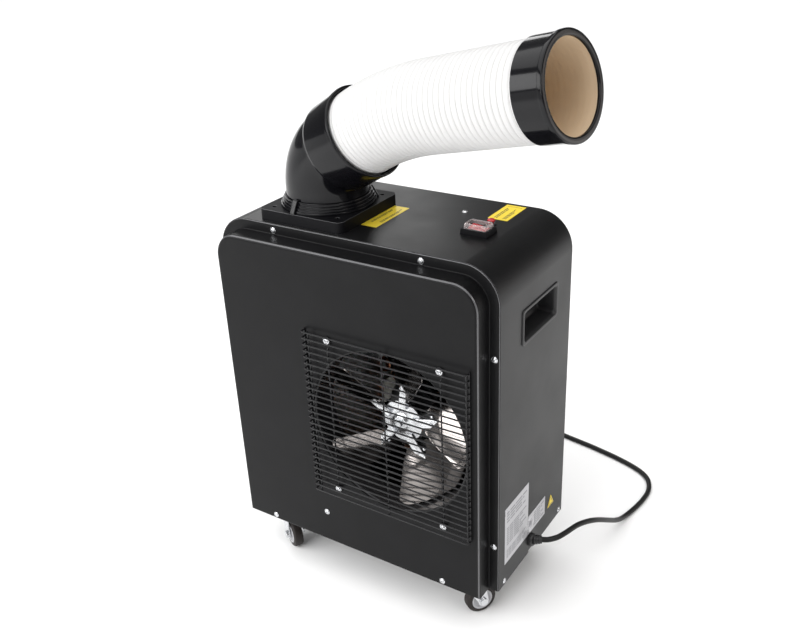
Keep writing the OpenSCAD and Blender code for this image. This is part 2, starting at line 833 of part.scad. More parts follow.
module silver_labels() {
    color("#d4d4d6") place() {
        block([half_w, -77, lift + 30], [half_w + 0.3, -14, lift + 111]);
        block([half_w, -13, lift + 30], [half_w + 0.3, 36, lift + 58]);
    }
}

gland_y = -3;
gland_z = lift + 16;
boot_turn = 25;                         // the boot leans back towards the rear of the cabinet
boot_tilt = 88;
// A flange on the cover with a short boot that leans along the cord
module cable_gland() {
    color("#161617") place() translate([half_w, gland_y, gland_z]) difference() {
        union() {
            rotate([0, 90, 0]) cylinder(h = 4, r = 8.5);
            translate([-10, 0, 0]) rotate([0, 90, 0]) cylinder(h = 11, r = 6);
            rotate([0, boot_tilt, boot_turn]) translate([0, 0, 3.4]) {
                cylinder(h = 9.3, r1 = 6.2, r2 = 5);
            }
        }
        rotate([0, boot_tilt, boot_turn]) translate([0, 0, -25]) {
            cylinder(h = 60, r = cord_r + 0.1);
        }
    }
}

// ---------------------------------------------------------------- power cord

function at(path, i) = path[max(0, min(len(path) - 1, i))];
// A smooth line through the route's points, with this many steps from one point to the next
function smooth(path, steps) = [for (i = [0 : len(path) - 2]) for (k = [0 : steps - 1])
    let (t = k / steps, a = at(path, i - 1), b = at(path, i), c = at(path, i + 1), d = at(path, i + 2))
    0.5 * (2 * b + (c - a) * t + (2 * a - 5 * b + 4 * c - d) * t * t + (3 * b - a - 3 * c + d) * t * t * t),
    path[len(path) - 1]];
function unit(v) = v / norm(v);
function heading(path, i) = unit(at(path, i + 1) - at(path, i - 1));
function ring(path, i, r, sides) =
    let (h = heading(path, i), side = unit(cross(h, [0, 0, 1])), up = cross(side, h))
    [for (k = [0 : sides - 1]) path[i] + r * (cos(360 * k / sides) * side + sin(360 * k / sides) * up)];
module tube(path, r, sides) {
    n = len(path);
    points = [for (i = [0 : n - 1]) each ring(path, i, r, sides)];
    walls = [for (i = [0 : n - 2], k = [0 : sides - 1])
        let (j = (k + 1) % sides) [i * sides + k, i * sides + j, (i + 1) * sides + j, (i + 1) * sides + k]];
    start = [for (k = [0 : sides - 1]) sides - 1 - k];
    end = [for (k = [0 : sides - 1]) (n - 1) * sides + k];
    polyhedron(points, concat([start], walls, [end]));
}

module power_cord() {
    color("#1b1b1c") place() {
        tube(smooth(ROUTE, 2), cord_r, 10);
        tube(smooth(LEAD_OUT, 2), cord_r, 10);
    }
}

module cord_coil() {
    color("#1b1b1c") place() translate([coil_x, coil_y, 0]) rotate_extrude($fn = 72) {
        translate([coil_r - 7, 0]) square([14, 21]);
    }
}

// A moulded plug lying on its side, with two round pins
module power_plug() {
    color("#1b1b1c") place() translate(plug_tip) rotate([0, 0, 197]) {
        rotate([0, 90, 0]) cylinder(h = 14, r1 = 5, r2 = 7.5);
        translate([14, 0, 0]) rotate([0, 90, 0]) cylinder(h = 22, r = 12.8);
        for (s = [-1, 1]) translate([36, s * 6, 0]) rotate([0, 90, 0]) cylinder(h = 19, r = 2.3);
    }
}

// ---------------------------------------------------------------- casters

module at_caster(i) {
    place() translate([CASTERS[i][1], CASTERS[i][2], 0]) rotate(CASTERS[i][3]) children();
}

module caster_plates() {
    color(zinc) place() for (c = CASTERS) translate([c[1], c[2], 0]) difference() {
        union() {
            translate([-20, -20, lift - 2.2]) cube([40, 40, 2.2]);
            translate([0, 0, lift - 11]) cylinder(h = 9, r = 15);
        }
        translate([0, 0, lift - 12]) cylinder(h = 20, r = 4.05);
    }
}

fork_gap = wheel_w / 2 + 1;
fork_t = 1.6;
fork_top = lift - 11.5;
module caster_fork(i) {
    color(zinc) at_caster(i) {
        difference() {
            union() {
                translate([0, 0, fork_top - 3]) cylinder(h = 3, r = 16);
                translate([0, -fork_gap - fork_t, fork_top - 3]) {
                    cube([14, 2 * (fork_gap + fork_t), 3]);
                }
                for (s = [-1, 1]) translate([0, s * (fork_gap + fork_t / 2) + fork_t / 2, 0]) {
                    rotate([90, 0, 0]) linear_extrude(fork_t) {
                        polygon([[-12, fork_top], [14, fork_top],
                            [trail + 7, wheel_r], [trail - 7, wheel_r]]);
                        translate([trail, wheel_r]) circle(7);
                    }
                }
            }
            translate([trail, -20, wheel_r]) rotate([-90, 0, 0]) cylinder(h = 40, r = 2.9);
        }
        translate([0, 0, fork_top - 1]) cylinder(h = lift - 0.2 - fork_top, r = 4);
        translate([trail, -fork_gap - fork_t - 3, wheel_r]) rotate([-90, 0, 0]) {
            cylinder(h = 2 * (fork_gap + fork_t + 3), r = 3);
            cylinder(h = 2.9, r = 5);
            translate([0, 0, 2 * (fork_gap + fork_t) + 3.1]) cylinder(h = 2.9, r = 5);
        }
    }
}

module caster_fork_fl() {
    caster_fork(0);
}

module caster_fork_fr() {
    caster_fork(1);
}

module caster_fork_rl() {
    caster_fork(2);
}

module caster_fork_rr() {
    caster_fork(3);
}

// Tyre and hub, turned about the axle
module caster_wheel(i) {
    color("#2a2a2b") at_caster(i) translate([trail, 0, wheel_r]) rotate([90, 0, 0]) rotate_extrude() {
        translate([3.06, -wheel_w / 2]) square([10.94, wheel_w]);
        translate([13.9, -wheel_w / 2 + 1]) square([wheel_r - 15.4, wheel_w - 2]);
        polygon([[wheel_r - 1.6, -wheel_w / 2 + 1], [wheel_r, -wheel_w / 2 + 3], [wheel_r, wheel_w / 2 - 3],
            [wheel_r - 1.6, wheel_w / 2 - 1]]);
    }
}

module caster_wheel_fl() {
    caster_wheel(0);
}

module caster_wheel_fr() {
    caster_wheel(1);
}

module caster_wheel_rl() {
    caster_wheel(2);
}

module caster_wheel_rr() {
    caster_wheel(3);
}

base_pan();
wrap_cover();
front_panel();
rear_panel();
fan_guard();
guard_screws();
cabinet_screws();
venturi_ring();
motor_bracket();
fan_motor();
fan_shaft();
fan_hub();
fan_blades();
condenser_fins();
condenser_tubes();
evaporator_fins();
evaporator_tubes();
compressor();
compressor_feet();
accumulator();
refrigerant_pipes();
partition_plate();
blower_scroll();
blower_wheel();
blower_motor();
drain_tray();
drain_spout();
drain_plug();
control_box();
run_capacitor();
thermostat();
air_filter();
duct_base();
duct_ring();
duct_clips();
duct_elbow();
flex_duct();
end_collar();
switch_body();
switch_rocker();
switch_boot();
reset_bushing();
reset_button();
handle_right();
handle_left();
yellow_labels();
silver_labels();
cable_gland();
power_cord();
cord_coil();
power_plug();
caster_plates();
caster_fork_fl();
caster_fork_fr();
caster_fork_rl();
caster_fork_rr();
caster_wheel_fl();
caster_wheel_fr();
caster_wheel_rl();
caster_wheel_rr();
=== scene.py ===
"""Looks of the portable spot air conditioner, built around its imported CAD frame."""
import json
from math import cos, exp, hypot, pi, radians, sin, sqrt, tan

import bmesh
import bpy
from mathutils import Matrix, Vector


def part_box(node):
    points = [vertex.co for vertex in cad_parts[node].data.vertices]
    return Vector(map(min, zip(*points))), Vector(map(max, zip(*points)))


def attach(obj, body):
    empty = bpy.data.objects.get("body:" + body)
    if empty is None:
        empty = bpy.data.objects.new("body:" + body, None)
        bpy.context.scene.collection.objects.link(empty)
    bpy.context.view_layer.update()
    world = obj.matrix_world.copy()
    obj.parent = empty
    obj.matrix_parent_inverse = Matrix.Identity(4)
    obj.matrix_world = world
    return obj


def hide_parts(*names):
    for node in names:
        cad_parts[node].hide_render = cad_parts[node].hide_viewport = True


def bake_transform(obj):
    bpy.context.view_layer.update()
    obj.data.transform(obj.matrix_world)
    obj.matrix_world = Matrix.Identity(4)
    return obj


MM = 0.001
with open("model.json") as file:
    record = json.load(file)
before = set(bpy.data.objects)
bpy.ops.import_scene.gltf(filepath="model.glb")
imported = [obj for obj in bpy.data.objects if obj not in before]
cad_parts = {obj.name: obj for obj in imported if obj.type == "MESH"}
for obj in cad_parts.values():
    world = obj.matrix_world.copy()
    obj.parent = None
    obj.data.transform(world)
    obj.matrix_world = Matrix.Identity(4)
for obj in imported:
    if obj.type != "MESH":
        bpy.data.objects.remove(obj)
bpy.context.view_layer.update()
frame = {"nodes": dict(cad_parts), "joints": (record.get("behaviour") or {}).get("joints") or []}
JOINTS = {j["name"]: j for j in frame["joints"]}

# Most places are given in millimetres from the middle of the cabinet's bottom edge
cover_low, cover_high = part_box("wrap_cover")
MID = Vector(((cover_low.x + cover_high.x) / 2, (cover_low.y + cover_high.y) / 2, cover_low.z))
HALF_W = (cover_high.x - cover_low.x) / 2 / MM
HALF_D = (cover_high.y - cover_low.y) / 2 / MM
TOP = (cover_high.z - cover_low.z) / MM
FACE_Y = (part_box("front_panel")[0].y - MID.y) / MM


def at(x, y, z):
    return MID + Vector((x, y, z)) * MM


def turn(axis, degrees):
    return Matrix.Rotation(radians(degrees), 4, axis)


def facing(point, direction, up=(0, 0, 1)):
    """A matrix whose Z points along direction, at point."""
    z = Vector(direction).normalized()
    x = Vector(up).cross(z)
    if x.length < 1e-6:
        x = Vector((1, 0, 0)).cross(z)
    x.normalize()
    y = z.cross(x)
    return Matrix.Translation(point) @ Matrix((x, y, z)).transposed().to_4x4()


def put(where, x, y, z):
    """The place of a point given in mm in the axes of the matrix where."""
    return where @ (Vector((x, y, z)) * MM)


def placed(name, data):
    """A new object in the scene."""
    piece = bpy.data.objects.new(name, data)
    bpy.context.scene.collection.objects.link(piece)
    return piece


# ---- camera

VIEW_TURN = 33.737
VIEW_DOWN = 26.362
VIEW_ROLL = -2.614
LENS = 42.17
CAMERA_PLACE = (581.8, -864.4, 795.9)


def make_camera():
    turned, down, roll = (radians(a) for a in (VIEW_TURN, VIEW_DOWN, VIEW_ROLL))
    ahead = Vector((-sin(turned) * cos(down), cos(turned) * cos(down), -sin(down)))
    level = Vector((cos(turned), sin(turned), 0))
    above = level.cross(ahead)
    right = level * cos(roll) + above * sin(roll)
    up = right.cross(ahead)
    data = bpy.data.cameras.new("camera")
    data.lens = LENS
    data.sensor_width = 36
    data.clip_end = 100
    camera = placed("camera", data)
    camera.matrix_world = (Matrix.Translation(at(*CAMERA_PLACE))
        @ Matrix((right, up, -ahead)).transposed().to_4x4())
    bpy.context.scene.camera = camera


make_camera()

# ---- materials


def link(tree, source, target):
    tree.links.new(source, target)


def fill(node, **values):
    """Sets a node's inputs; an underscore stands for a space in an input's name."""
    for name, value in values.items():
        node.inputs[name.replace("_", " ")].default_value = value


def base_material(name, color, rough, metal=0.0, level=0.5):
    m = bpy.data.materials.new(name)
    m.use_nodes = True
    shader = m.node_tree.nodes["Principled BSDF"]
    fill(shader, Base_Color=(*color, 1), Roughness=rough, Metallic=metal, Specular_IOR_Level=level)
    return m, m.node_tree, shader


def noise_at(tree, scale, detail=3.0, stretch=(1, 1, 1)):
    where = tree.nodes.new("ShaderNodeTexCoord")
    mapping = tree.nodes.new("ShaderNodeMapping")
    fill(mapping, Scale=stretch)
    tex = tree.nodes.new("ShaderNodeTexNoise")
    fill(tex, Scale=scale, Detail=detail)
    link(tree, where.outputs["Object"], mapping.inputs["Vector"])
    link(tree, mapping.outputs["Vector"], tex.inputs["Vector"])
    return tex.outputs["Fac"]


def spread(tree, value, low, high):
    """Maps the middle of a noise value's range onto low to high."""
    node = tree.nodes.new("ShaderNodeMapRange")
    fill(node, From_Min=0.3, From_Max=0.7, To_Min=low, To_Max=high)
    link(tree, value, node.inputs["Value"])
    return node.outputs["Result"]


def bump(tree, shader, height, strength, distance):
    node = tree.nodes.new("ShaderNodeBump")
    fill(node, Strength=strength, Distance=distance)
    link(tree, height, node.inputs["Height"])
    link(tree, node.outputs["Normal"], shader.inputs["Normal"])


def two_tone(tree, shader, value, first, second):
    mix = tree.nodes.new("ShaderNodeMix")
    mix.data_type = "RGBA"
    fill(mix, A=(*first, 1), B=(*second, 1))
    link(tree, value, mix.inputs["Factor"])
    link(tree, mix.outputs["Result"], shader.inputs["Base Color"])


def finish(name, color, rough, metal=0.0, level=0.5, grain=900, relief=0.1, vary=0.04, patch=14,
           tone=0.12, stretch=(1, 1, 1)):
    """A finish with fine grain in its surface, and slow changes in its gloss and tone."""
    m, tree, shader = base_material(name, color, rough, metal, level)
    slow = noise_at(tree, patch, 4)
    link(tree, spread(tree, slow, rough - vary, rough + vary), shader.inputs["Roughness"])
    darker = tuple(c * (1 - tone) for c in color)
    lighter = tuple(min(1, c * (1 + tone)) for c in color)
    two_tone(tree, shader, spread(tree, noise_at(tree, patch * 1.7, 5), 0, 1), darker, lighter)
    bump(tree, shader, noise_at(tree, grain, 2, stretch), relief, 0.0002)
    return m


def coated(m, coat, rough):
    """Adds a clear coat to a finish."""
    fill(m.node_tree.nodes["Principled BSDF"], Coat_Weight=coat, Coat_Roughness=rough)


def clear_plastic():
    m, tree, shader = base_material("clear_plastic", (0.97, 0.90, 0.90), 0.14)
    fill(shader, Transmission_Weight=0.84, IOR=1.3)
    bump(tree, shader, noise_at(tree, 260), 0.12, 0.0002)
    return m


WAVES_IN_A_METRE = 3.18                 # a wave texture's bands in one metre at scale 1


def woven(name, color, pitch):
    """A fine square mesh: threads as bumps that cross."""
    m, tree, shader = base_material(name, color, 0.6)
    where = tree.nodes.new("ShaderNodeTexCoord")
    waves = []
    for direction in ("X", "Z"):
        wave = tree.nodes.new("ShaderNodeTexWave")
        wave.bands_direction = direction
        fill(wave, Scale=1 / pitch / WAVES_IN_A_METRE)
        link(tree, where.outputs["Object"], wave.inputs["Vector"])
        waves.append(wave.outputs["Fac"])
    most = tree.nodes.new("ShaderNodeMath")
    most.operation = "MAXIMUM"
    link(tree, waves[0], most.inputs[0])
    link(tree, waves[1], most.inputs[1])
    two_tone(tree, shader, most.outputs[0], tuple(c * 0.25 for c in color), color)
    bump(tree, shader, most.outputs[0], 0.6, 0.0005)
    return m


BLACK = finish("black_powder_coat", (0.007, 0.007, 0.0075), 0.34, level=0.22, grain=1300)
FACE = finish("front_powder_coat", (0.006, 0.006, 0.0065), 0.34, level=0.12, grain=1300)
GLOSS = finish("gloss_black_plastic", (0.004, 0.004, 0.005), 0.16, level=0.13, grain=240, relief=0.03)
coated(GLOSS, 0.22, 0.05)
DULL_BLACK = finish("duct_base_plastic", (0.004, 0.004, 0.005), 0.5, level=0.1, grain=500, relief=0.08)
RING_BLACK = finish("black_passivated_zinc", (0.012, 0.012, 0.013), 0.3, level=0.35, grain=700,
    relief=0.06)
MATT_BLACK = finish("matt_black_plastic", (0.012, 0.012, 0.013), 0.45, grain=1600, relief=0.25)
WIRE = finish("guard_wire_coat", (0.008, 0.008, 0.009), 0.25, level=0.3, grain=500, relief=0.05)
# A lighter, glossier black for rounded edges: a painted highlight along them.
PAINTED_EDGE_HIGHLIGHT = finish("painted_edge_highlight", (0.085, 0.085, 0.09), 0.25, level=0.6, grain=700, relief=0.05)
ZINC = finish("zinc_plate", (0.70, 0.71, 0.73), 0.24, 1.0, grain=700, relief=0.06, vary=0.05, patch=60,
    tone=0.05)
ALLOY = finish("polished_aluminium", (0.40, 0.37, 0.355), 0.14, 1.0, grain=300, relief=0.02, vary=0.03,
    patch=30, tone=0.03)
FIN = finish("fin_aluminium", (0.60, 0.61, 0.62), 0.35, 1.0, grain=500)
COPPER = finish("copper_tube", (0.70, 0.33, 0.19), 0.25, 1.0, grain=400, vary=0.08, patch=40)
ENAMEL = finish("black_enamel", (0.012, 0.012, 0.013), 0.28, grain=300, relief=0.15)
STEEL = finish("ground_steel", (0.55, 0.56, 0.58), 0.22, 1.0, grain=900, stretch=(1, 12, 1))
HOSE = finish("white_hose_film", (0.575, 0.572, 0.569), 0.5, grain=420, relief=0.12, tone=0.015, patch=9)
# Darker grey for the bottom of each groove in the hose: partly the wire's seam line, partly painted shade
# in the crease.
SEAM_AND_GROOVE_SHADE = finish("hose_seam_and_groove_shade", (0.35, 0.337, 0.325), 0.5, grain=420, tone=0.03)
LINING = finish("cream_hose_lining", (0.74, 0.58, 0.40), 0.5, grain=420, tone=0.04, patch=9)
IVORY = finish("ivory_plastic", (0.70, 0.70, 0.66), 0.45, grain=900, relief=0.15)
RED = finish("red_plastic", (0.50, 0.012, 0.02), 0.25, grain=300, relief=0.04)
coated(RED, 0.4, 0.08)
RUBBER = finish("cord_rubber", (0.008, 0.008, 0.008), 0.42, level=0.25, grain=1500, relief=0.2)
TYRE = finish("tyre_rubber", (0.018, 0.014, 0.013), 0.55, level=0.3, grain=1700, relief=0.35)
DISC = finish("wheel_plastic", (0.42, 0.42, 0.44), 0.35, grain=900, relief=0.15)
YELLOW = finish("yellow_label", (0.95, 0.72, 0.05), 0.38, grain=200, relief=0.04, tone=0.03)
SILVER = finish("silver_label", (0.50, 0.50, 0.52), 0.3, 0.35, grain=200, relief=0.04, tone=0.04)
INK = finish("label_ink", (0.02, 0.02, 0.02), 0.45, grain=200, relief=0.03)
GREY_INK = finish("label_grey_ink", (0.22, 0.22, 0.24), 0.45, grain=200, relief=0.03)
MESH = woven("filter_mesh", (0.06, 0.065, 0.07), 0.0016)
CLEAR = clear_plastic()

# ---- mesh tools


def add(name, verts, faces, material, smooth=40, clean=True):
    """An object from points and faces; clean merges points that meet and turns its faces outwards."""
    mesh = bpy.data.meshes.new(name)
    mesh.from_pydata([tuple(v) for v in verts], [], faces)
    piece = add_mesh(name, mesh, material, smooth)
    if clean:
        tidy(piece.data)
    return piece


def add_mesh(name, mesh, material, smooth=40):
    """An object with smooth shading, but sharp edges where they turn by more than smooth degrees."""
    for m in material if isinstance(material, (list, tuple)) else [material]:
        mesh.materials.append(m)
    mesh.validate()
    mesh.shade_smooth()
    if smooth:
        mesh.set_sharp_from_angle(angle=radians(smooth))
    return placed(name, mesh)


def finished(bm, name, material, smooth=40, even=True):
    """The object of a mesh under construction, its faces turned outwards; even weighs its normals."""
    bmesh.ops.recalc_face_normals(bm, faces=bm.faces)
    mesh = bpy.data.meshes.new(name)
    bm.to_mesh(mesh)
    bm.free()
    piece = add_mesh(name, mesh, material, smooth)
    if even:
        piece.modifiers.new("normals", "WEIGHTED_NORMAL").keep_sharp = True
    return piece


def settle(piece, slot, *nodes, body="cabinet"):
    """The piece stands for these CAD nodes, which it hides, and rides on a body; slot is not used."""
    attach(piece, body)
    if nodes:
        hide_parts(*nodes)
    return piece


def baked(piece):
    """Applies the piece's modifiers and returns it."""
    bpy.context.view_layer.update()
    graph = bpy.context.evaluated_depsgraph_get()
    mesh = bpy.data.meshes.new_from_object(piece.evaluated_get(graph))
    piece.modifiers.clear()
    piece.data = mesh
    return piece


def joined(name, pieces):
    """One object out of several, with their materials."""
    base = bmesh.new()
    slots = []
    for p in pieces:
        mesh = p.data.copy()
        mesh.transform(p.matrix_world)
        for f in mesh.polygons:
            material = p.data.materials[f.material_index]
            if material not in slots:
                slots.append(material)
            f.material_index = slots.index(material)
        base.from_mesh(mesh)
        bpy.data.meshes.remove(mesh)
        bpy.data.objects.remove(p)
    mesh = bpy.data.meshes.new(name)
    base.to_mesh(mesh)
    base.free()
    for material in slots:
        mesh.materials.append(material)
    return placed(name, mesh)


def circle(steps):
    """The cosine and sine at each of the points once round a circle."""
    return [(cos(2 * pi * k / steps), sin(2 * pi * k / steps)) for k in range(steps)]


CORNERS = ((1, 1), (-1, 1), (-1, -1), (1, -1))


def round_box(w, h, r, steps=5):
    """The outline of a rectangle with round corners."""
    turns = [(sx, sy, pi / 2 * (i + k / steps))
        for i, (sx, sy) in enumerate(CORNERS) for k in range(steps + 1)]
    return [(sx * (w / 2 - r) + r * cos(a), sy * (h / 2 - r) + r * sin(a)) for sx, sy, a in turns]


def wall(rows, around, closed=False):
    """Quads between rows of points, where each row runs once round."""
    faces = []
    for i in range(rows if closed else rows - 1):
        for k in range(around):
            j, m = (k + 1) % around, (i + 1) % rows
            faces.append((i * around + k, i * around + j, m * around + j, m * around + k))
    return faces


def lathe(name, profile, material, where, steps=96, smooth=35, closed=True):
    """Turns a profile of (radius, height) points in mm about the Z of the matrix where."""
    verts, faces = [], []
    n = len(profile)
    for c, s in circle(steps):
        verts += [where @ Vector((r * c * MM, r * s * MM, z * MM)) for r, z in profile]
    for k in range(steps):
        j = (k + 1) % steps
        for i in range(n if closed else n - 1):
            m = (i + 1) % n
            faces.append((k * n + i, j * n + i, j * n + m, k * n + m))
    return add(name, verts, faces, material, smooth)


def tidy(mesh):
    """Merges points that meet, drops empty faces, and turns all faces outwards."""
    bm = bmesh.new()
    bm.from_mesh(mesh)
    bmesh.ops.remove_doubles(bm, verts=bm.verts, dist=1e-7)
    bmesh.ops.dissolve_degenerate(bm, dist=1e-8, edges=bm.edges)
    bmesh.ops.recalc_face_normals(bm, faces=bm.faces)
    bm.to_mesh(mesh)
    bm.free()


def frames_along(path):
    """A side and an up vector at each point of a path, carried along without twist."""
    last = len(path) - 1
    heads = [(path[min(i + 1, last)] - path[max(i - 1, 0)]).normalized() for i in range(last + 1)]
    up = Vector((0, 0, 1)) if abs(heads[0].z) < 0.9 else Vector((1, 0, 0))
    out = []
    for h in heads:
        side = h.cross(up).normalized()
        up = side.cross(h).normalized()
        out.append((side, up))
    return out


def sweep(name, path, radius, material, sides):
    """A round tube with closed ends, along a path in metres, with its radius in mm."""
    verts = []
    r = radius * MM
    for p, (side, up) in zip(path, frames_along(path)):
        verts += [p + side * r * c + up * r * s for c, s in circle(sides)]
    faces = wall(len(path), sides)
    faces.append(tuple(reversed(range(sides))))
    faces.append(tuple((len(path) - 1) * sides + k for k in range(sides)))
    return add(name, verts, faces, material, 35)


def rounded(path, radius, steps=5):
    """A path in mm with its corners rounded off."""
    points = [Vector(p) for p in path]
    out = [points[0]]
    for a, b, c in zip(points, points[1:], points[2:]):
        into, away = (a - b), (c - b)
        r = min(radius, into.length * 0.49, away.length * 0.49)
        p, q = b + into.normalized() * r, b + away.normalized() * r
        for k in range(steps + 1):
            t = k / steps
            out.append(p.lerp(b, t).lerp(b.lerp(q, t), t))
    out.append(points[-1])
    return out


HARD_EDGE = 30                          # edges that turn by more than this, in degrees, get rounded


def soften(node, material, width, slot, body="cabinet", edge=None):
    """Puts a copy with rounded edges in a CAD node's place; edge, when given, is a lighter material on
    the rounded faces, a painted highlight along them.
    """
    bm = bmesh.new()
    bm.from_mesh(frame["nodes"][node].data)
    bmesh.ops.remove_doubles(bm, verts=bm.verts, dist=1e-6)
    bmesh.ops.dissolve_limit(bm, angle_limit=radians(0.5), verts=bm.verts, edges=bm.edges, delimit=set())
    edges = [e for e in bm.edges if len(e.link_faces) == 2 and e.calc_face_angle(0) > radians(HARD_EDGE)]
    bmesh.ops.bevel(bm, geom=edges, offset=width * MM, offset_type="OFFSET", segments=2,
        profile=0.5, affect="EDGES", clamp_overlap=True, material=1 if edge else -1)
    bmesh.ops.dissolve_degenerate(bm, dist=1e-7, edges=bm.edges)
    piece = finished(bm, node + "_shape", [material, edge] if edge else material)
    settle(piece, slot, node, body=body)


# ---- power cord

CORD_R = 3.5
# The route from the boot's tip to the coil, and from the coil to the plug, in mm from the middle of
# the cabinet and from the floor
ROUTE = [(202.2, 2.7, 81.5), (208.4, 5.8, 81.6), (213.7, 10.9, 81.7), (217.8, 16.8, 81.7),
    (220.8, 24.4, 81.5), (223.3, 33, 80.9), (225.4, 43, 79.9), (228, 56, 77.6), (231.5, 70, 73.6),
    (235, 84, 68), (238, 98, 60.8), (240.5, 112, 52.2), (242.2, 126, 42.8), (243.2, 141, 32.5),
    (244, 157, 22), (244.8, 174, 12.6), (246, 192, 6.3), (249, 210, 4)]
ON_FLOOR = [(252, 228), (254, 246), (254, 264), (250, 281), (241, 297), (227, 308), (210, 316),
    (192, 322), (174, 327), (156, 331), (138, 335), (120, 338), (102, 341), (84, 344), (66, 346),
    (48, 347), (30, 347), (10, 345.5)]
LEAD_OUT = [(-34, 289, 17.5), (-32.5, 277, 17.5), (-34, 265, 16), (-38.5, 254, 14), (-46, 244, 12.5),
    (-56, 237, 12.5), (-68, 233, 13)]
COIL = (10, 300)
COIL_R = 45.5
# Where the coil's line moves in, out or up: (start angle, end angle, new radius, new height)
COIL_STEPS = [(330, 440, 38.5, 3.5), (620, 730, 38.5, 10.5), (950, 1060, COIL_R, 10.5),
    (1275, 1385, COIL_R, 17.5)]
COIL_ENDS = (90, 1634)


def on_floor(x, y, z):
    return Vector((MID.x + x * MM, MID.y + y * MM, z * MM))


def smooth_line(points, steps):
    """A smooth line through the points, as in part.scad."""
    out = []
    last = len(points) - 1
    for i in range(last):
        a, b, c, d = (points[max(0, min(last, j))] for j in (i - 1, i, i + 1, i + 2))
        for k in range(steps):
            t = k / steps
            out.append(0.5 * (2 * b + (c - a) * t + (2 * a - 5 * b + 4 * c - d) * t * t
                + (3 * b - a - 3 * c + d) * t * t * t))
    return out + [points[-1]]


def coil_line():
    out = []
    for angle in range(COIL_ENDS[0] + 6, COIL_ENDS[1] - 4, 6):
        r, z = COIL_R, CORD_R
        for start, end, new_r, new_z in COIL_STEPS:
            t = max(0.0, min(1.0, (angle - start) / (end - start)))
            t = t * t * (3 - 2 * t)
            r, z = r + (new_r - r) * t, z + (new_z - z) * t
        a = radians(angle)
        out.append(on_floor(COIL[0] + r * cos(a), COIL[1] + r * sin(a), z))
    return out


PLUG_POINTS = 197                       # the way the plug's pins point, in degrees from the right
PIN_APART = 6
TIE_AT = 262                            # where the strap holds the coil, in degrees round it


def make_plug():
    """A moulded mains plug with two round pins, lying behind the coil."""
    where = facing(on_floor(*LEAD_OUT[-1]), turn("Z", PLUG_POINTS) @ Vector((1, 0, 0)))
    body = [(0, 0), (4.4, 0), (4.8, 0.5), (5.2, 5), (4.9, 5.4), (4.9, 6.2), (5.7, 6.8), (5.6, 7.4),
        (6.3, 8.2), (6.5, 10), (7.5, 13.4), (10.6, 14.6), (12.2, 16.6), (12.7, 20), (12.7, 33.8),
        (12.2, 35.4), (11.4, 36), (0, 36)]
    parts = [lathe("plug_body", body, MATT_BLACK, where, 40, 50, False)]
    for s in (-1, 1):
        pin = [(0, 35.5), (2.3, 35.5), (2.3, 53.4), (1.9, 54.6), (1.1, 55), (0, 55)]
        spot = where @ Matrix.Translation((s * PIN_APART * MM, 0, 0))
        parts.append(lathe("plug_pin", pin, ZINC, spot, 20, 50, False))
    return settle(joined("mains_plug", parts), "black_plastic", "power_plug")


def make_tie():
    """A strap round the coil's turns."""
    a = radians(TIE_AT)
    middle = on_floor(COIL[0] + 42 * cos(a), COIL[1] + 42 * sin(a), 10.4)
    out = Vector((cos(a), sin(a), 0))
    up = Vector((0, 0, 1))
    outline = round_box(14.6, 20.6, 3.7, 6)
    along = up.cross(out)
    verts = []
    for side, grow in ((-5, 0), (-5, 0.9), (5, 0.9), (5, 0)):
        for x, z in outline:
            scale = 1 + grow / max(1.0, hypot(x, z))
            z = max(z * scale, -10.2)
            verts.append(middle + (out * x * scale + up * z + along * side) * MM)
    tie = add("coil_tie", verts, wall(4, len(outline), True), MATT_BLACK)
    return settle(tie, "black_rubber")


def make_cord():
    first = smooth_line([on_floor(*p) for p in ROUTE] + [on_floor(x, y, CORD_R) for x, y in ON_FLOOR], 4)
    path = first + coil_line() + smooth_line([on_floor(*p) for p in LEAD_OUT], 4)
    cord = sweep("power_cord_line", path, CORD_R, RUBBER, 14)
    settle(cord, "cord_rubber", "power_cord", "cord_coil")
    plug, tie = make_plug(), make_tie()


make_cord()

# ---- floor and light


def make_stage():
    m, tree, shader = base_material("floor", (0.93, 0.93, 0.93), 0.75, level=0.2)
    bump(tree, shader, noise_at(tree, 3), 0.02, 0.0005)
    reach = 40
    floor = add("floor", [(x * reach, y * reach, 0) for x, y in CORNERS], [(0, 1, 2, 3)], m, clean=False)


def area_light(name, place, target, size, power, color=(1, 1, 1)):
    data = bpy.data.lights.new(name, "AREA")
    data.shape = "RECTANGLE"
    data.size, data.size_y = size
    data.energy = power
    data.color = color
    lamp = placed(name, data)
    lamp.visible_camera = False
    lamp.matrix_world = facing(Vector(place), Vector(place) - Vector(target))


def make_light():
    world = bpy.data.worlds.new("studio")
    world.use_nodes = True
    fill(world.node_tree.nodes["Background"], Color=(1, 1, 1, 1), Strength=0.13)
    bpy.context.scene.world = world
    sky = bpy.data.lights.new("overhead", "SUN")
    sky.energy = 3.2
    sky.angle = radians(95)
    placed("overhead", sky).matrix_world = facing(Vector((0, 0, 3)), (-0.18, -0.12, 1))
    # Softboxes: one that the cover's top mirrors, one at the left, one before the hose, one that looks
    # into the collar's mouth, and a low warm one at the right
    area_light("sheen", (-2.2, 2.5, 1.55), (0.0, 0.0, 0.45), (1.3, 0.9), 9)
    area_light("key", (-1.7, -1.6, 1.25), (0.05, -0.1, 0.25), (1.3, 1.0), 21)
    area_light("front", (-0.3, -2.1, 1.25), (0.1, -0.05, 0.6), (1.3, 1.3), 26)
    area_light("mouth", (1.9, -0.6, 1.5), (0.1, -0.05, 0.6), (0.7, 0.7), 9, (1.0, 0.97, 0.94))
    area_light("warm", (1.5, 0.9, 0.6), (0.1, 0.1, 0.1), (0.8, 0.8), 3, (1.0, 0.93, 0.88))
    bpy.context.scene.view_settings.view_transform = "Standard"
    bpy.context.scene.view_settings.look = "None"


make_stage()
make_light()

# ---- cabinet

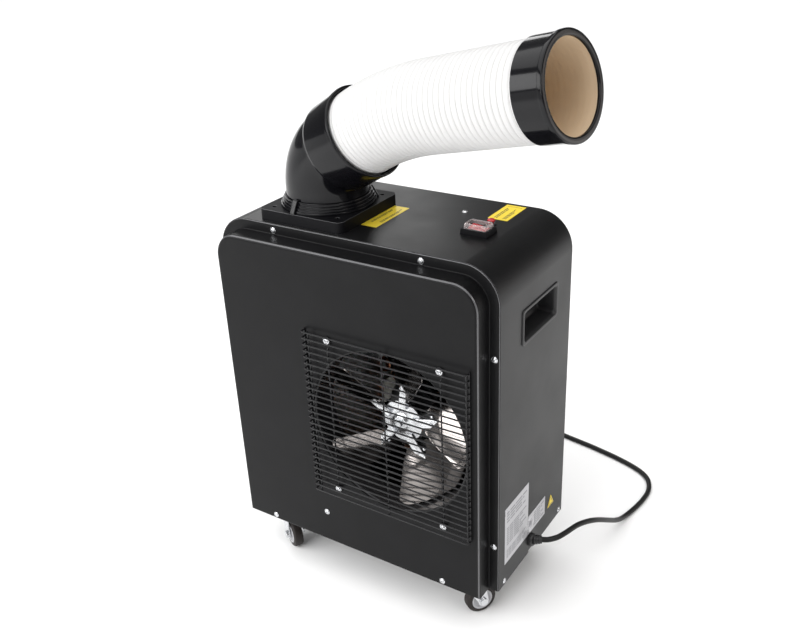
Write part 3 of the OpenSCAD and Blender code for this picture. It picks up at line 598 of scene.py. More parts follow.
CORNER = 44                             # radius of the cover's top corners
RIM = 13                                # width of the front panel's rim
RAISED = HALF_D + 1.2                   # the rim stands this far in front of the middle
SHEET = 1.2
FAN = JOINTS["fan_spin"]["pos_m"]
FAN_X = (FAN[0] - MID.x) / MM
FAN_Z = (FAN[2] - MID.z) / MM
OPENING = 106                           # radius of the hole in the front panel
MOUTH_STEPS = 96


def arch(inset, foot):
    """The cabinet's outline drawn in by inset: (x, z) in mm, clockwise from the bottom left."""
    w, top, r, arc_steps = HALF_W - inset, TOP - inset, CORNER - inset, 14
    points = [(-w, foot)]
    for middle, first in (((-w + r, top - r), 180), ((w - r, top - r), 90)):
        for k in range(arc_steps + 1):
            a = radians(first - 90 * k / arc_steps)
            points.append((middle[0] + r * cos(a), middle[1] + r * sin(a)))
    return points + [(w, foot)]


def fill_between(bm, outer, inner=()):
    """Fills the flat area inside the outer loop of vertices and outside the inner loop."""
    edges = []
    for loop in (outer, inner):
        for a, b in zip(loop, list(loop[1:]) + list(loop[:1])):
            edges.append(bm.edges.get((a, b)) or bm.edges.new((a, b)))
    bmesh.ops.triangle_fill(bm, use_beauty=True, use_dissolve=False, edges=edges)


def quarter(start, end, bulge, steps=5):
    """Points on a quarter circle from start to end, bending round the corner point bulge."""
    angles = [pi / 2 * k / steps for k in range(steps + 1)]
    return [tuple(p + (b - p) * sin(a) + (q - b) * (1 - cos(a)) for p, b, q in zip(start, bulge, end))
        for a in angles]


def bridge(bm, first, second, look=0):
    """Quads between two closed loops of vertices with the same count, with this material index."""
    for k in range(len(first)):
        j = (k + 1) % len(first)
        bm.faces.new([first[k], first[j], second[j], second[k]]).material_index = look


def make_front_panel():
    """A pressed tray: a flat rim, walls that turn softly into the face, and the fan's round mouth."""
    soft = 4.5
    outside = [(0.9, -HALF_D), (0.6, -HALF_D - 0.3), (0.6, -RAISED + 0.7), (1.2, -RAISED)]
    outside.append((RIM - 1.2, -RAISED))
    outside += quarter((RIM - 1.0, -RAISED), (RIM, -RAISED - 1.0), (RIM, -RAISED), 3)
    outside += quarter((RIM, FACE_Y + soft), (RIM + soft, FACE_Y), (RIM, FACE_Y), 7)
    inside = [(RIM + soft, FACE_Y + SHEET), (RIM + SHEET, FACE_Y + soft + 1), (RIM + SHEET, -HALF_D)]
    bm = bmesh.new()
    loops, mouths = [], []
    for inset, y in outside + inside:
        foot = max(0.0, inset - RIM) + 0.2
        loops.append([bm.verts.new(at(x, y, z)) for x, z in arch(inset, foot)])
    for y in (FACE_Y, FACE_Y + SHEET):
        mouths.append([bm.verts.new(at(FAN_X + OPENING * c, y, FAN_Z + OPENING * s))
            for c, s in circle(MOUTH_STEPS)])
    face = len(outside) - 1
    # The rim's outer edge and two bands where the walls turn into the face take the lighter edge
    # material: a painted highlight.
    painted_highlight_bands = (2, face - 5, face - 4)
    for i in range(len(loops)):
        if i != face:
            bridge(bm, loops[i], loops[(i + 1) % len(loops)], 1 if i in painted_highlight_bands else 0)
    fill_between(bm, loops[face], mouths[0])
    fill_between(bm, loops[face + 1], mouths[1])
    bridge(bm, *mouths)
    piece = finished(bm, "front_panel_shape", [FACE, PAINTED_EDGE_HIGHLIGHT], 50)
    settle(piece, "face_paint", "front_panel")


def make_fan_mouth():
    """The rolled rim of the fan's mouth and the short ring behind it."""
    where = facing(at(FAN_X, FACE_Y + SHEET, FAN_Z), (0, -1, 0))
    profile = [(OPENING + 7, -0.1), (OPENING + 7, -1.1)]
    outer, inner, deep = OPENING - 1.8, OPENING - 2.8, -34
    profile += quarter((OPENING - 0.8, -1.1), (outer, -2.4), (outer, -1.1), 4)
    profile += [(outer, deep), (inner, deep)]
    profile += quarter((inner, -2.0), (OPENING - 0.9, -0.1), (inner, -0.1), 5)
    ring = lathe("venturi_ring_shape", profile, RING_BLACK, where, 128)
    settle(ring, "zinc", "venturi_ring")


make_front_panel()
make_fan_mouth()

# Sheet-metal parts keep their CAD outline and get a folded edge
# The cover's rounded edges take the lighter edge material: a painted highlight.
soften("wrap_cover", BLACK, 0.5, "black_paint", edge=PAINTED_EDGE_HIGHLIGHT)
soften("rear_panel", BLACK, 0.35, "black_paint")
soften("base_pan", BLACK, 0.35, "black_paint")

# ---- fasteners


def cross(r, width):
    """The outline of a cross recess."""
    w = width / 2
    points = []
    for k in range(4):
        a = pi / 2 * k
        for x, y in ((r, -w), (r, w), (w, w)):
            points.append((x * cos(a) - y * sin(a), x * sin(a) + y * cos(a)))
    return points


def screw(point, normal, r, high, spin=0.0, flange=0.0):
    """A pan-head screw: a domed head with a cross recess, and a washer face if flange is given."""
    where = facing(point, normal) @ turn("Z", spin)
    flat = r * 0.62
    profile = [(r - 0.05, 0)]
    if flange:
        profile = [(flange, 0), (flange, 0.5), (flange - 0.2, 0.7), (r + 0.25, 0.75)]
    profile += quarter((r, high * 0.35), (flat, high), (r * 0.97, high * 0.98), 4)
    steps = 24
    bm = bmesh.new()
    rings = [[bm.verts.new(put(where, radius * c, radius * s, z)) for c, s in circle(steps)]
        for radius, z in profile]
    for low, up in zip(rings, rings[1:]):
        bridge(bm, low, up)
    slot = [bm.verts.new(put(where, x, y, high)) for x, y in cross(r * 0.5, r * 0.2)]
    pit = [bm.verts.new(put(where, x, y, high - r * 0.3)) for x, y in cross(r * 0.42, r * 0.16)]
    fill_between(bm, rings[-1], slot)
    bridge(bm, slot, pit)
    bm.faces.new(pit)
    bm.faces.new(list(reversed(rings[0])))
    return finished(bm, "screw", ZINC, even=False)


def make_screws():
    heads = []
    rim = ((-105, 412), (96, 412), (183.4, 316), (183.4, 66), (-183.4, 316), (-183.4, 66))
    for i, (x, z) in enumerate(rim):
        heads.append(screw(at(x, -RAISED, z), (0, -1, 0), 3.1, 1.9, 23 * i, 3.9))
        heads.append(screw(at(x, RAISED, z), (0, 1, 0), 3.1, 1.9, 31 * i, 3.9))
    for i, (x, z) in enumerate(((-131, 8.6), (127, 8.6), (-42.5, 47.5))):
        heads.append(screw(at(x, FACE_Y, z), (0, -1, 0), 3.0, 1.9, 17 * i + 9, 3.8))
    for i, (x, z) in enumerate(((-131, 8), (127, 8), (0, 8))):
        heads.append(screw(at(x, RAISED, z), (0, 1, 0), 3.1, 1.9, 37 * i + 5, 3.9))
    for s in (-1, 1):
        for i, y in enumerate((-78, 80)):
            heads.append(screw(at(s * HALF_W, y, 7), (s, 0, 0), 2.8, 1.8, 40 * i + 12, 3.5))
    heads.append(screw(at(75, 41, TOP), (0, 0, 1), 2.8, 1.8, 33, 3.5))
    settle(joined("cabinet_screw_heads", heads), "zinc", "cabinet_screws")


make_screws()

# ---- wire guard

GUARD_Y = FACE_Y - 8
GUARD_W = 109
GUARD_H = 111
WIRES = 28
WIRE_R = 1.0
LOOPS = (-73, 77)
LOOP_UP = 104
LOOP_R = 4


def make_guard():
    on_panel = FACE_Y - WIRE_R
    behind = GUARD_Y + 2 * WIRE_R - 0.2
    foot = FACE_Y - 0.3
    rods = []
    for i in range(WIRES):
        z = FAN_Z - GUARD_H + 2 * GUARD_H * i / (WIRES - 1)
        corners = [(-GUARD_W, foot), (-GUARD_W, GUARD_Y), (GUARD_W, GUARD_Y), (GUARD_W, foot)]
        path = rounded([(FAN_X + x, y, z) for x, y in corners], 3.4, 5)
        rods.append(sweep("wire", [at(*p) for p in path], WIRE_R, WIRE, 10))
    uprights = [(x, behind) for x in (-GUARD_W + 9, 1, GUARD_W - 1)]
    uprights += [(s * GUARD_W, on_panel) for s in (-1, 1)]
    for x, y in uprights:
        ends = [(FAN_X + x, y, FAN_Z + s * (GUARD_H + 1.5)) for s in (-1, 1)]
        rods.append(sweep("upright", [at(*p) for p in ends], WIRE_R, WIRE, 10))
    for x in LOOPS:
        turnround = []
        for k in range(3, 25):
            a = radians(15 * k)
            turnround.append((FAN_X + x - LOOP_R + LOOP_R * cos(a), LOOP_R * sin(a)))
        top = [(px, on_panel, FAN_Z + LOOP_UP + dz) for px, dz in turnround]
        leg = [(FAN_X + x, on_panel, FAN_Z + LOOP_UP - 3), (FAN_X + x, behind, FAN_Z + LOOP_UP - 9)]
        half = [Vector(p) for p in top]
        half += rounded([top[-1]] + leg + [(FAN_X + x, behind, FAN_Z)], 3, 4)[1:]
        other = [Vector((p.x, p.y, 2 * FAN_Z - p.z)) for p in reversed(half[:-1])]
        rods.append(sweep("looped", [at(*p) for p in half + other], WIRE_R, WIRE, 10))
    settle(joined("fan_guard_wires", rods), "guard_wire", "fan_guard")
    heads = []
    for x in LOOPS:
        for s in (-1, 1):
            point = at(FAN_X + x - LOOP_R, FACE_Y - 2 * WIRE_R, FAN_Z + s * LOOP_UP)
            heads.append(screw(point, (0, -1, 0), 3.1, 2.0, 20 * s + x, 4.2))
    settle(joined("guard_screw_heads", heads), "zinc", "guard_screws")


make_guard()

# ---- condenser fan

HUB_Y = (FAN[1] - MID.y) / MM
BLADE_FIRST = 15
BLADE_PITCH = -36
FAN_R = 100
BLADES = 5
ROOT = 33                               # where a blade starts, from the fan's middle


FAN_FRONT = facing(at(FAN_X, HUB_Y, FAN_Z), (0, -1, 0))


def fan_frame(i):
    """Where blade i lies: X along the blade, Z towards the front before it is pitched."""
    return FAN_FRONT @ turn("Z", BLADE_FIRST + 360 / BLADES * i) \
        @ turn("X", BLADE_PITCH)


def blade_edges(x):
    """The two edges of the flat blade at a distance x along it."""
    lead = [(33, -14), (45, -24), (60, -33), (80, -43), (92, -49), (100, -52)]
    tail = [(33, 12), (40, 20), (60, 36), (80, 49.5), (90, 51.5), (100, 49)]
    out = []
    for edge in (lead, tail):
        for (x0, y0), (x1, y1) in zip(edge, edge[1:]):
            if x <= x1 or x1 == edge[-1][0]:
                out.append(y0 + (y1 - y0) * min(1, max(0, (x - x0) / (x1 - x0))))
                break
    return out


def make_blades():
    """Five cupped aluminium blades with rolled edges, each with rounded tip corners."""
    rows, columns, thick, cup = 18, 22, 1.0, 5.0
    lean = cos(radians(BLADE_PITCH))
    blades = []
    for i in range(BLADES):
        where = fan_frame(i)
        verts, faces = [], []
        for side in (0, 1):
            for r in range(rows + 1):
                low, high = blade_edges(ROOT + (FAN_R - ROOT) * r / rows)
                for c in range(columns + 1):
                    t = 2 * c / columns - 1
                    y = (low + high) / 2 + (high - low) / 2 * sin(t * pi / 2)
                    corner = max(0.0, (abs(t) - 0.55) / 0.45)
                    reach = sqrt(FAN_R ** 2 - (y * lean) ** 2)
                    reach -= 9 * corner ** 2.4
                    x = ROOT + (reach - ROOT) * r / rows
                    bend = cup * (1 - (2 * (y - low) / (high - low) - 1) ** 2) * min(1, (x - ROOT) / 22)
                    verts.append(put(where, x, y, bend - side * thick))
        n, m = rows + 1, columns + 1
        for side in (0, 1):
            for r in range(rows):
                for c in range(columns):
                    a = side * n * m + r * m + c
                    quad = (a, a + 1, a + m + 1, a + m)
                    faces.append(quad if side == 0 else tuple(reversed(quad)))
        edge = [(0, c) for c in range(m)] + [(r, columns) for r in range(1, n)]
        edge += [(rows, c) for c in range(columns - 1, -1, -1)] + [(r, 0) for r in range(rows - 1, 0, -1)]
        for (r0, c0), (r1, c1) in zip(edge, edge[1:] + edge[:1]):
            a, b = r0 * m + c0, r1 * m + c1
            faces.append((b, a, n * m + a, n * m + b))
        blades.append(add("blade", verts, faces, ALLOY, 50))
    settle(joined("fan_blade_set", blades), "bare_aluminium", "fan_blades", body="fan_rotor")


def make_hub():
    """A pressed steel spider: five ridged arms round a boss, with a rivet pair on each arm."""
    boss = [(4.1, -4.5), (9, -4.5), (9, -1), (26.5, -0.4), (27, 0.3), (27, 1.2), (26.4, 2.0), (20, 2.6)]
    boss += [(13, 4.6), (9.6, 6.4), (9.0, 7.4), (7.6, 8.2), (4.1, 8.2)]
    parts = [lathe("boss", boss, ZINC, FAN_FRONT, 64, 40)]
    for i in range(BLADES):
        where = fan_frame(i)
        rings, sides = 9, 14
        across = [2 * k / sides - 1 for k in range(sides + 1)]
        verts, faces = [], []
        for r in range(rings + 1):
            t = r / rings
            x = 18 + 39 * t
            half = 9.0 - 1.2 * t
            high = 4.6 * (1 - t) ** 0.7 + 1.5
            if r == rings:
                half, high = half * 0.75, 1.3
            for u in across:
                ridge = exp(-(u / 0.42) ** 2)
                verts.append(put(where, x, u * half, 1.4 + 1.2 * (1 - u ** 4) + (high - 1.2) * ridge))
            verts += [put(where, x, u * half, 1.3) for u in across]
        n = sides + 1
        for r in range(rings):
            for k in range(sides):
                a = r * 2 * n + k
                faces.append((a, a + 1, a + 2 * n + 1, a + 2 * n))
                b = a + n
                faces.append((b + 1, b, b + 2 * n, b + 2 * n + 1))
            for k in (0, sides):
                a = r * 2 * n + k
                quad = (a, a + 2 * n, a + 3 * n, a + n)
                faces.append(quad if k == 0 else tuple(reversed(quad)))
        for r in (0, rings):
            for k in range(sides):
                a = r * 2 * n + k
                faces.append((a, a + n, a + n + 1, a + 1))
        parts.append(add("arm", verts, faces, ZINC, 60))
        for x, y in ((42, -4.5), (42, 4.5), (52, 0)):
            head = [(0, 1.4), (2.4, 1.4), (2.2, 2.6), (1.3, 3.2), (0, 3.3)]
            spot = where @ Matrix.Translation((x * MM, y * MM, 1.1 * MM))
            parts.append(lathe("rivet", head, ZINC, spot, 16, 50, False))
    settle(joined("fan_hub_spider", parts), "zinc", "fan_hub", body="fan_rotor")


def make_shaft():
    """The motor's shaft with a nut that holds the hub."""
    end = [(0, -54), (4, -54), (4, 11.2), (3.4, 12), (0, 12)]
    parts = [lathe("shaft", end, STEEL, FAN_FRONT, 32, 40, False)]
    verts = []
    for z, r in ((4.6, 6.6), (5.0, 7.2), (8.5, 7.2), (8.9, 6.4)):
        verts += [put(FAN_FRONT, r * c, r * s, z) for c, s in circle(6)]
    faces = wall(4, 6) + [(5, 4, 3, 2, 1, 0), (18, 19, 20, 21, 22, 23)]
    parts.append(add("nut", verts, faces, STEEL, 25, False))
    settle(joined("fan_shaft_end", parts), "shaft_steel", "fan_shaft", body="fan_rotor")


make_blades()
make_hub()
make_shaft()

# ---- air duct

# The duct's line starts straight up from the cover, bends in the elbow, and bends a little in the hose
ELBOW_RISE = 35
ELBOW_BEND = 57
ELBOW_TURN = radians(59)
MOUTH = 46
HOSE_BEND = 327
HOSE_TURN = radians(17.8)
HOSE_STRAIGHT = 134
COLLAR = 35
HOSE_IN = 20
LIP_DEEP = 3
ELBOW_R = 49
HOSE_R = 49
DUCT_FOOT = Vector((*JOINTS["elbow_swivel"]["pos_m"][:2], cover_high.z))
swing = JOINTS["duct_bend"]["axis"]
DUCT_SIDE = Vector((swing[0], swing[1], 0)).normalized()
DUCT_OUT = Vector((-DUCT_SIDE.y, DUCT_SIDE.x, 0))
S_ARC = ELBOW_RISE + ELBOW_BEND * ELBOW_TURN
S_MOUTH = S_ARC + MOUTH
S_BEND = S_MOUTH + HOSE_BEND * HOSE_TURN
S_COLLAR = S_BEND + HOSE_STRAIGHT


def duct_point(s):
    """The point and the direction of the duct's centre line at s mm along it."""
    out, up, lean = 0.0, min(s, ELBOW_RISE), 0.0
    runs = ((S_ARC - ELBOW_RISE, ELBOW_BEND), (MOUTH, None), (S_BEND - S_MOUTH, HOSE_BEND), (1000, None))
    for length, radius in runs:
        step = max(0.0, min(length, s - ELBOW_RISE))
        s -= step
        if radius:
            new = lean + step / radius
            out += radius * (cos(lean) - cos(new))
            up += radius * (sin(new) - sin(lean))
            lean = new
        else:
            out += step * sin(lean)
            up += step * cos(lean)
        if step < length:
            break
    direction = DUCT_OUT * sin(lean) + Vector((0, 0, 1)) * cos(lean)
    return DUCT_FOOT + (DUCT_OUT * out + Vector((0, 0, 1)) * up) * MM, direction


def duct_shell(name, profile, material, steps=96, smooth=35):
    """A closed profile of (s, radius) swept round the duct's line."""
    verts = []
    for s, r in profile:
        point, ahead = duct_point(s)
        other = ahead.cross(DUCT_SIDE)
        verts += [point + (DUCT_SIDE * cosine + other * sine) * r * MM for cosine, sine in circle(steps)]
    return add(name, verts, wall(len(profile), steps, True), material, smooth)


def make_elbow():
    """A moulded elbow with a flange in its ring, and a wider mouth with a rolled rim."""
    inner = ELBOW_R - 2.5
    outside = [(10.4, inner), (10.4, 51.4), (10.8, 51.8), (13.0, 51.8), (13.4, 51.4)]
    outside += [(13.6, ELBOW_R + 0.6), (15.0, ELBOW_R), (ELBOW_RISE, ELBOW_R)]
    bend_steps = 20
    wide = ELBOW_R + 4
    start = S_ARC - 4
    outside += [(ELBOW_RISE + (start - ELBOW_RISE) * k / bend_steps, ELBOW_R)
        for k in range(1, bend_steps)]
    outside += [(start + 0.2, ELBOW_R), (start + 1.0, ELBOW_R + 0.25)]
    outside += quarter((start + 1.4, ELBOW_R + 0.6), (start + 6.5, wide), (start + 1.6, wide - 0.4), 6)
    outside += [(S_MOUTH - 7, wide)] + quarter((S_MOUTH - 6.4, wide), (S_MOUTH - 5.6, wide + 0.9),
        (S_MOUTH - 5.7, wide), 3)
    outside += quarter((S_MOUTH - 2.0, wide + 1.1), (S_MOUTH, wide - 0.6), (S_MOUTH, wide + 1.1), 5)
    inside = [(S_MOUTH, HOSE_R + 2.4), (S_MOUTH - 0.8, HOSE_R + 1.6)]
    inside += [(S_MOUTH - HOSE_IN - 3.6, HOSE_R + 1.6), (S_MOUTH - HOSE_IN - 4, inner)]
    inside += [(ELBOW_RISE + (S_ARC - ELBOW_RISE) * k / bend_steps, inner)
        for k in range(bend_steps, -1, -1)]
    elbow = duct_shell("duct_elbow_shell", outside + inside, GLOSS, 112, 40)
    settle(elbow, "duct_plastic", "duct_elbow", body="elbow")


DUCT_LINE = [duct_point(k)[0] for k in range(420)]


def nearest_on_duct(point):
    return min(DUCT_LINE, key=lambda p: (p - point).length_squared)


def make_hose():
    """White film on a wire helix: a fine seam every few millimetres, drawn as darker grey in each
    groove's bottom that is partly painted shade, with a cream lining.
    """
    pitch, deep, thick = 6.7, 0.95, 1.5
    start, stop = S_MOUTH - HOSE_IN + 1, S_COLLAR + COLLAR - LIP_DEEP - 1
    count = int((stop - start) / pitch)
    pitch = (stop - start) / count
    wave = ((0.0, 1.0), (0.07, 1.0), (0.15, 0.35), (0.27, 0.06), (0.55, 0.0), (0.80, 0.08), (0.92, 0.35))
    outside, inside = [], []
    lining = ((0.0, 1.0), (0.3, 0.1), (0.7, 0.1))
    for i in range(count):
        s = start + pitch * i
        outside += [(s + pitch * t, HOSE_R - 0.25 - deep * dip) for t, dip in wave]
        inside += [(s + pitch * t, HOSE_R - thick - 0.5 - 0.25 * dip) for t, dip in lining]
    outside.append((stop, HOSE_R - 0.8))
    inside.append((stop, HOSE_R - thick - 0.8))
    hose = duct_shell("flexible_duct", outside + list(reversed(inside)), HOSE, 96, 0)
    hose.data.materials.append(SEAM_AND_GROOVE_SHADE)
    hose.data.materials.append(LINING)
    # Faces inside take the lining; faces deep in each groove take the darker seam grey, which is partly
    # painted shade.
    for face in hose.data.polygons:
        near = nearest_on_duct(face.center)
        away = (face.center - near).length / MM
        if face.normal.dot(face.center - near) < 0:
            face.material_index = 2
        elif away < HOSE_R - 0.25 - deep * 0.8:
            face.material_index = 1
    duct_point(S_MOUTH)[0]
    duct_point(S_COLLAR)[0]
    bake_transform(hose)
    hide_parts("flex_duct")


def make_collar():
    """A turned end ring over the hose, with a rolled lip round its mouth."""
    end = S_COLLAR + COLLAR
    outside = [(S_COLLAR, HOSE_R + 0.15), (S_COLLAR, HOSE_R + 0.8), (S_COLLAR + 0.4, HOSE_R + 1.2)]
    outside += [(S_COLLAR + 2.4, HOSE_R + 1.35), (end - 6.2, HOSE_R + 1.35)]
    outside += quarter((end - 5.6, HOSE_R + 1.4), (end - 4.6, HOSE_R + 2.4), (end - 4.7, HOSE_R + 1.4), 4)
    outside += quarter((end - 1.4, HOSE_R + 2.5), (end, HOSE_R + 1.0), (end, HOSE_R + 2.5), 5)
    bore = 44.6
    inside = quarter((end, bore + 1.6), (end - 1.6, bore), (end, bore), 4) + [(end - LIP_DEEP, bore)]
    inside.append((end - LIP_DEEP - 0.2, HOSE_R + 0.1))
    collar = duct_shell("end_collar_ring", outside + inside, GLOSS, 128, 40)
    settle(collar, "duct_plastic", "end_collar", body="outlet")


BASE_HIGH = 14


def make_base():
    """The square base with its clips, and the four ledges of the ring that the elbow stands in."""
    # Its rounded edges take the lighter edge material: a painted highlight.
    soften("duct_base", DULL_BLACK, 0.9, "duct_plastic", edge=PAINTED_EDGE_HIGHLIGHT)
    middle = DUCT_FOOT + Vector((0, 0, BASE_HIGH * MM))
    inner = ELBOW_R + 0.5
    profile = [(inner, 0)]
    for i in range(4):
        r, z = 56.2 - 1.7 * i, 3.2 * i
        profile += [(r, z + 0.1)] + quarter((r, z + 2.3), (r - 0.8, z + 3.1), (r, z + 3.1), 3)
        profile.append((r - 1.5, z + 3.15))
    profile += [(inner + 0.4, 12.9), (inner, 12.5)]
    ring = lathe("duct_ring_ledges", profile, GLOSS, Matrix.Translation(middle), 128, 30)
    settle(ring, "duct_plastic", "duct_ring")
    soften("duct_clips", MATT_BLACK, 0.4, "black_plastic")


make_elbow()
make_hose()
make_collar()
make_base()

# ---- switch, reset, handles

SWITCH = (121.5, -12)
RESET = (121, 19)
HANDLE = (5.5, 330)
HANDLE_SIZE = (92, 44)


def stacked(name, layers, material, where, closed=False):
    """Outlines (width, height, corner radius, level) in mm joined up, with the ends capped or joined."""
    bm = bmesh.new()
    loops = [[bm.verts.new(put(where, x, y, z)) for x, y in round_box(w, h, r)] for w, h, r, z in layers]
    for low, up in zip(loops, loops[1:]):
        bridge(bm, low, up)
    if closed:
        bridge(bm, loops[-1], loops[0])
    else:
        bm.faces.new(loops[-1])
        bm.faces.new(list(reversed(loops[0])))
    return finished(bm, name, material)


def drawn_in(w, h, *rows):
    """Layers for stacked that start from w by h: each row is (inset, corner radius, level)."""
    return [(w - inset, h - inset, r, z) for inset, r, z in rows]


def on_top(x, y, degrees=90, up=0):
    """A place on the cover's top, turned about the vertical."""
    return Matrix.Translation(at(x, y, TOP + up)) @ turn("Z", degrees)


def make_switch():
    """The switch's housing, its rocker with two marks, and the clear boot over it."""
    where = on_top(*SWITCH)
    bezel = [(18, 29, 0.6, -22), (18, 29, 0.6, 0)]
    bezel += drawn_in(24, 34, (0, 0.9, 0), (0, 0.9, 2.6), (0.4, 0.9, 3), (0.8, 0.9, 6), (1.4, 0.9, 6.45),
        (2, 0.9, 6.5), (8.4, 0.8, 6.5), (8.8, 0.5, 6.1), (8.8, 0.5, -14), (9, 0.5, -14.2))
    body = stacked("switch_housing", bezel, DULL_BLACK, where)
    settle(body, "black_plastic", "switch_body")
    tilt = on_top(*SWITCH, up=1) @ turn("X", 8)
    cap = [(12.6, 7.6, 0.6, -8.9), (13, 8, 0.6, -3), (14, 21, 0.6, -3), (14, 21, 0.6, 4.9),
        (13.2, 20.4, 0.9, 5.9), (12.0, 19.4, 1.0, 6.2)]
    rocker = stacked("rocker_cap", cap, RED, tilt)
    bar = [(1.0, 4.4, 0.4, 0), (1.0, 4.4, 0.4, 0.18), (0.8, 4.2, 0.3, 0.22)]
    circle = [(1.6, 0), (2.3, 0), (2.3, 0.16), (2.2, 0.2), (1.7, 0.2), (1.6, 0.16)]
    spots = [facing(put(tilt, 0, y, 6.15), tilt.to_3x3() @ Vector((0, 0, 1))) for y in (-5.6, 5.6)]
    marks = [baked(stacked("mark", bar, IVORY, spots[0])), lathe("mark", circle, IVORY, spots[1], 28)]
    settle(rocker, "red_plastic", "switch_rocker", body="rocker")
    settle(joined("rocker_marks", marks), "white_plastic", body="rocker")
    boot = drawn_in(19, 29, (0, 2, 6.5), (0, 2, 7.7), (0.8, 2.2, 11.1), (1.6, 2.4, 12), (3.4, 2.6, 12.5),
        (4.2, 2.2, 11.6), (2.8, 1.8, 11.2), (2.1, 1.6, 10.4), (1.8, 1.5, 7.5), (1.8, 1.5, 6.5))
    shell = stacked("switch_boot_cover", boot, CLEAR, where, closed=True)
    settle(shell, "clear_boot", "switch_boot")


def make_reset():
    where = on_top(*RESET, 0)
    bushing = [(3.3, -14), (4, -14), (4, 0), (5.6, 0), (5.6, 0.9), (5.1, 1.5), (3.9, 1.6), (3.3, 1.3)]
    settle(lathe("reset_bush", bushing, MATT_BLACK, where, 40), "black_plastic", "reset_bushing")
    cap = [(0, -12), (3, -12), (3, 4), (4.4, 4), (4.6, 4.2), (4.6, 4.9)]
    cap += quarter((4.6, 4.9), (2.2, 6.6), (4.4, 6.4), 6) + [(0, 6.7)]
    button = lathe("reset_cap", cap, RED, where, 40, 35, False)
    settle(button, "red_plastic", "reset_button", body="reset")


def make_handle(node, s):
    """A moulded cup handle: a rolled lip on the cover and a deep cup with a soft floor."""
    where = facing(at(s * HALF_W, *HANDLE), (s, 0, 0))
    layers = drawn_in(*HANDLE_SIZE, (10, 3.6, -24), (8, 4, -0.2), (0, 4, 0), (0, 4, 0.5), (0.5, 4, 1.1),
        (1.6, 4, 1.45), (5, 4.2, 1.5), (7.4, 4.6, 1.1), (9.4, 4.6, -0.6), (11, 4.4, -3.4),
        (12.6, 4.4, -17.4), (14.2, 5, -20.6), (18.8, 5, -22.2), (24, 4, -22.4))
    settle(stacked(node + "_cup", layers, MATT_BLACK, where), "black_plastic", node)


make_switch()
make_reset()
make_handle("handle_right", 1)
make_handle("handle_left", -1)

# ---- labels


def sticker(name, where, w, h, base, ink, print_rows):
    """A thin sticker with printed bars: print_rows holds (x, y, width, height) from its middle."""
    r = 0.6
    parts = [baked(stacked(name, drawn_in(w, h, (0, r, 0), (0, r, 0.24), (0.2, r, 0.3)), base, where))]
    for x, y, bw, bh in print_rows:
        spot = where @ Matrix.Translation((x * MM, y * MM, 0.29 * MM))
        corner = min(0.15, bh / 3)
        parts.append(baked(stacked("print", [(bw, bh, corner, 0), (bw, bh, corner, 0.05)], ink, spot)))
    return joined(name, parts)


def text_rows(w, h, rows, ragged, mid_x=0, mid_y=0):
    """Bars laid out as lines of words round a middle, with lengths in a fixed uneven pattern."""
    out = []
    margin, gap, leading = 1.6, 0.45, 0.5
    pitch = (h - 2 * margin) / rows
    for i in range(rows):
        y = h / 2 - margin - pitch * (i + 0.5)
        x = -w / 2 + margin
        end = w / 2 - margin - (ragged * ((i * 7) % 5) / 4) * w
        k = i
        while x < end - 0.8:
            word = min(end - x, pitch * (1.6 + 1.3 * ((k * 5 + i * 3) % 4)))
            out.append((mid_x + x + word / 2, mid_y + y, word, pitch * leading))
            x += word + pitch * gap
            k += 1
    return out


def make_labels():
    rows = text_rows(48, 7, 2, 0.1, 0, 4.5) + text_rows(50, 7, 2, 0.3, 4, -5.5)
    pieces = [sticker("top_sticker", on_top(-0.5, -12.5), 71, 21, YELLOW, INK, rows)]
    rows = text_rows(38, 8, 2, 0.2, -3, 5) + text_rows(38, 8, 3, 0.3, -3, -6) + [(20, 0, 0.6, 19)]
    pieces.append(sticker("rear_sticker", on_top(120.5, 60), 50, 25, YELLOW, INK, rows))
    side = facing(at(HALF_W, 54, 32), (1, 0, 0))
    verts = []
    for z, grow in ((0, 0), (0.26, 0), (0.3, -0.15)):
        for x, y in ((-9 - grow, -grow), (9 + grow, -grow), (0, 16 + grow * 2)):
            verts.append(put(side, x, y, z))
    walls = [(0, 1, 4, 3), (1, 2, 5, 4), (2, 0, 3, 5)]
    faces = [(2, 1, 0)] + walls + [tuple(i + 3 for i in wall) for wall in walls] + [(6, 7, 8)]
    pieces.append(add("triangle_sticker", verts, faces, YELLOW, 30, False))
    verts = []
    for inset in (1.3, 2.2):
        for x, y in ((-9 + inset * 1.8, inset), (9 - inset * 1.8, inset), (0, 16 - inset * 2.1)):
            verts.append(put(side, x, y, 0.33))
    pieces.append(add("triangle_border", verts, walls, INK, 30, False))
    settle(joined("yellow_stickers", pieces), "label_yellow", "yellow_labels")
    plate = facing(at(HALF_W, -45.5, 70.5), (1, 0, 0))
    rows = text_rows(56, 20, 4, 0.25, 0, 26) + text_rows(56, 30, 8, 0.35, 0, -2)
    rows += text_rows(56, 16, 5, 0.2, 0, -28)
    first = sticker("rating_sticker", plate, 63, 81, SILVER, GREY_INK, rows)
    plate = facing(at(HALF_W, 11.5, 44), (1, 0, 0))
    rows = text_rows(32, 25, 6, 0.3, 6) + [(-18, 0, 8, 9)]
    second = sticker("side_sticker", plate, 49, 28, SILVER, GREY_INK, rows)
    settle(joined("silver_stickers", [first, second]), "label_silver", "silver_labels")


make_labels()

# ---- cable gland


GLAND = (-3, 16)
BOOT_TURN = 25                          # how far the cord leaves towards the back, in degrees
BOOT_RISE = 2


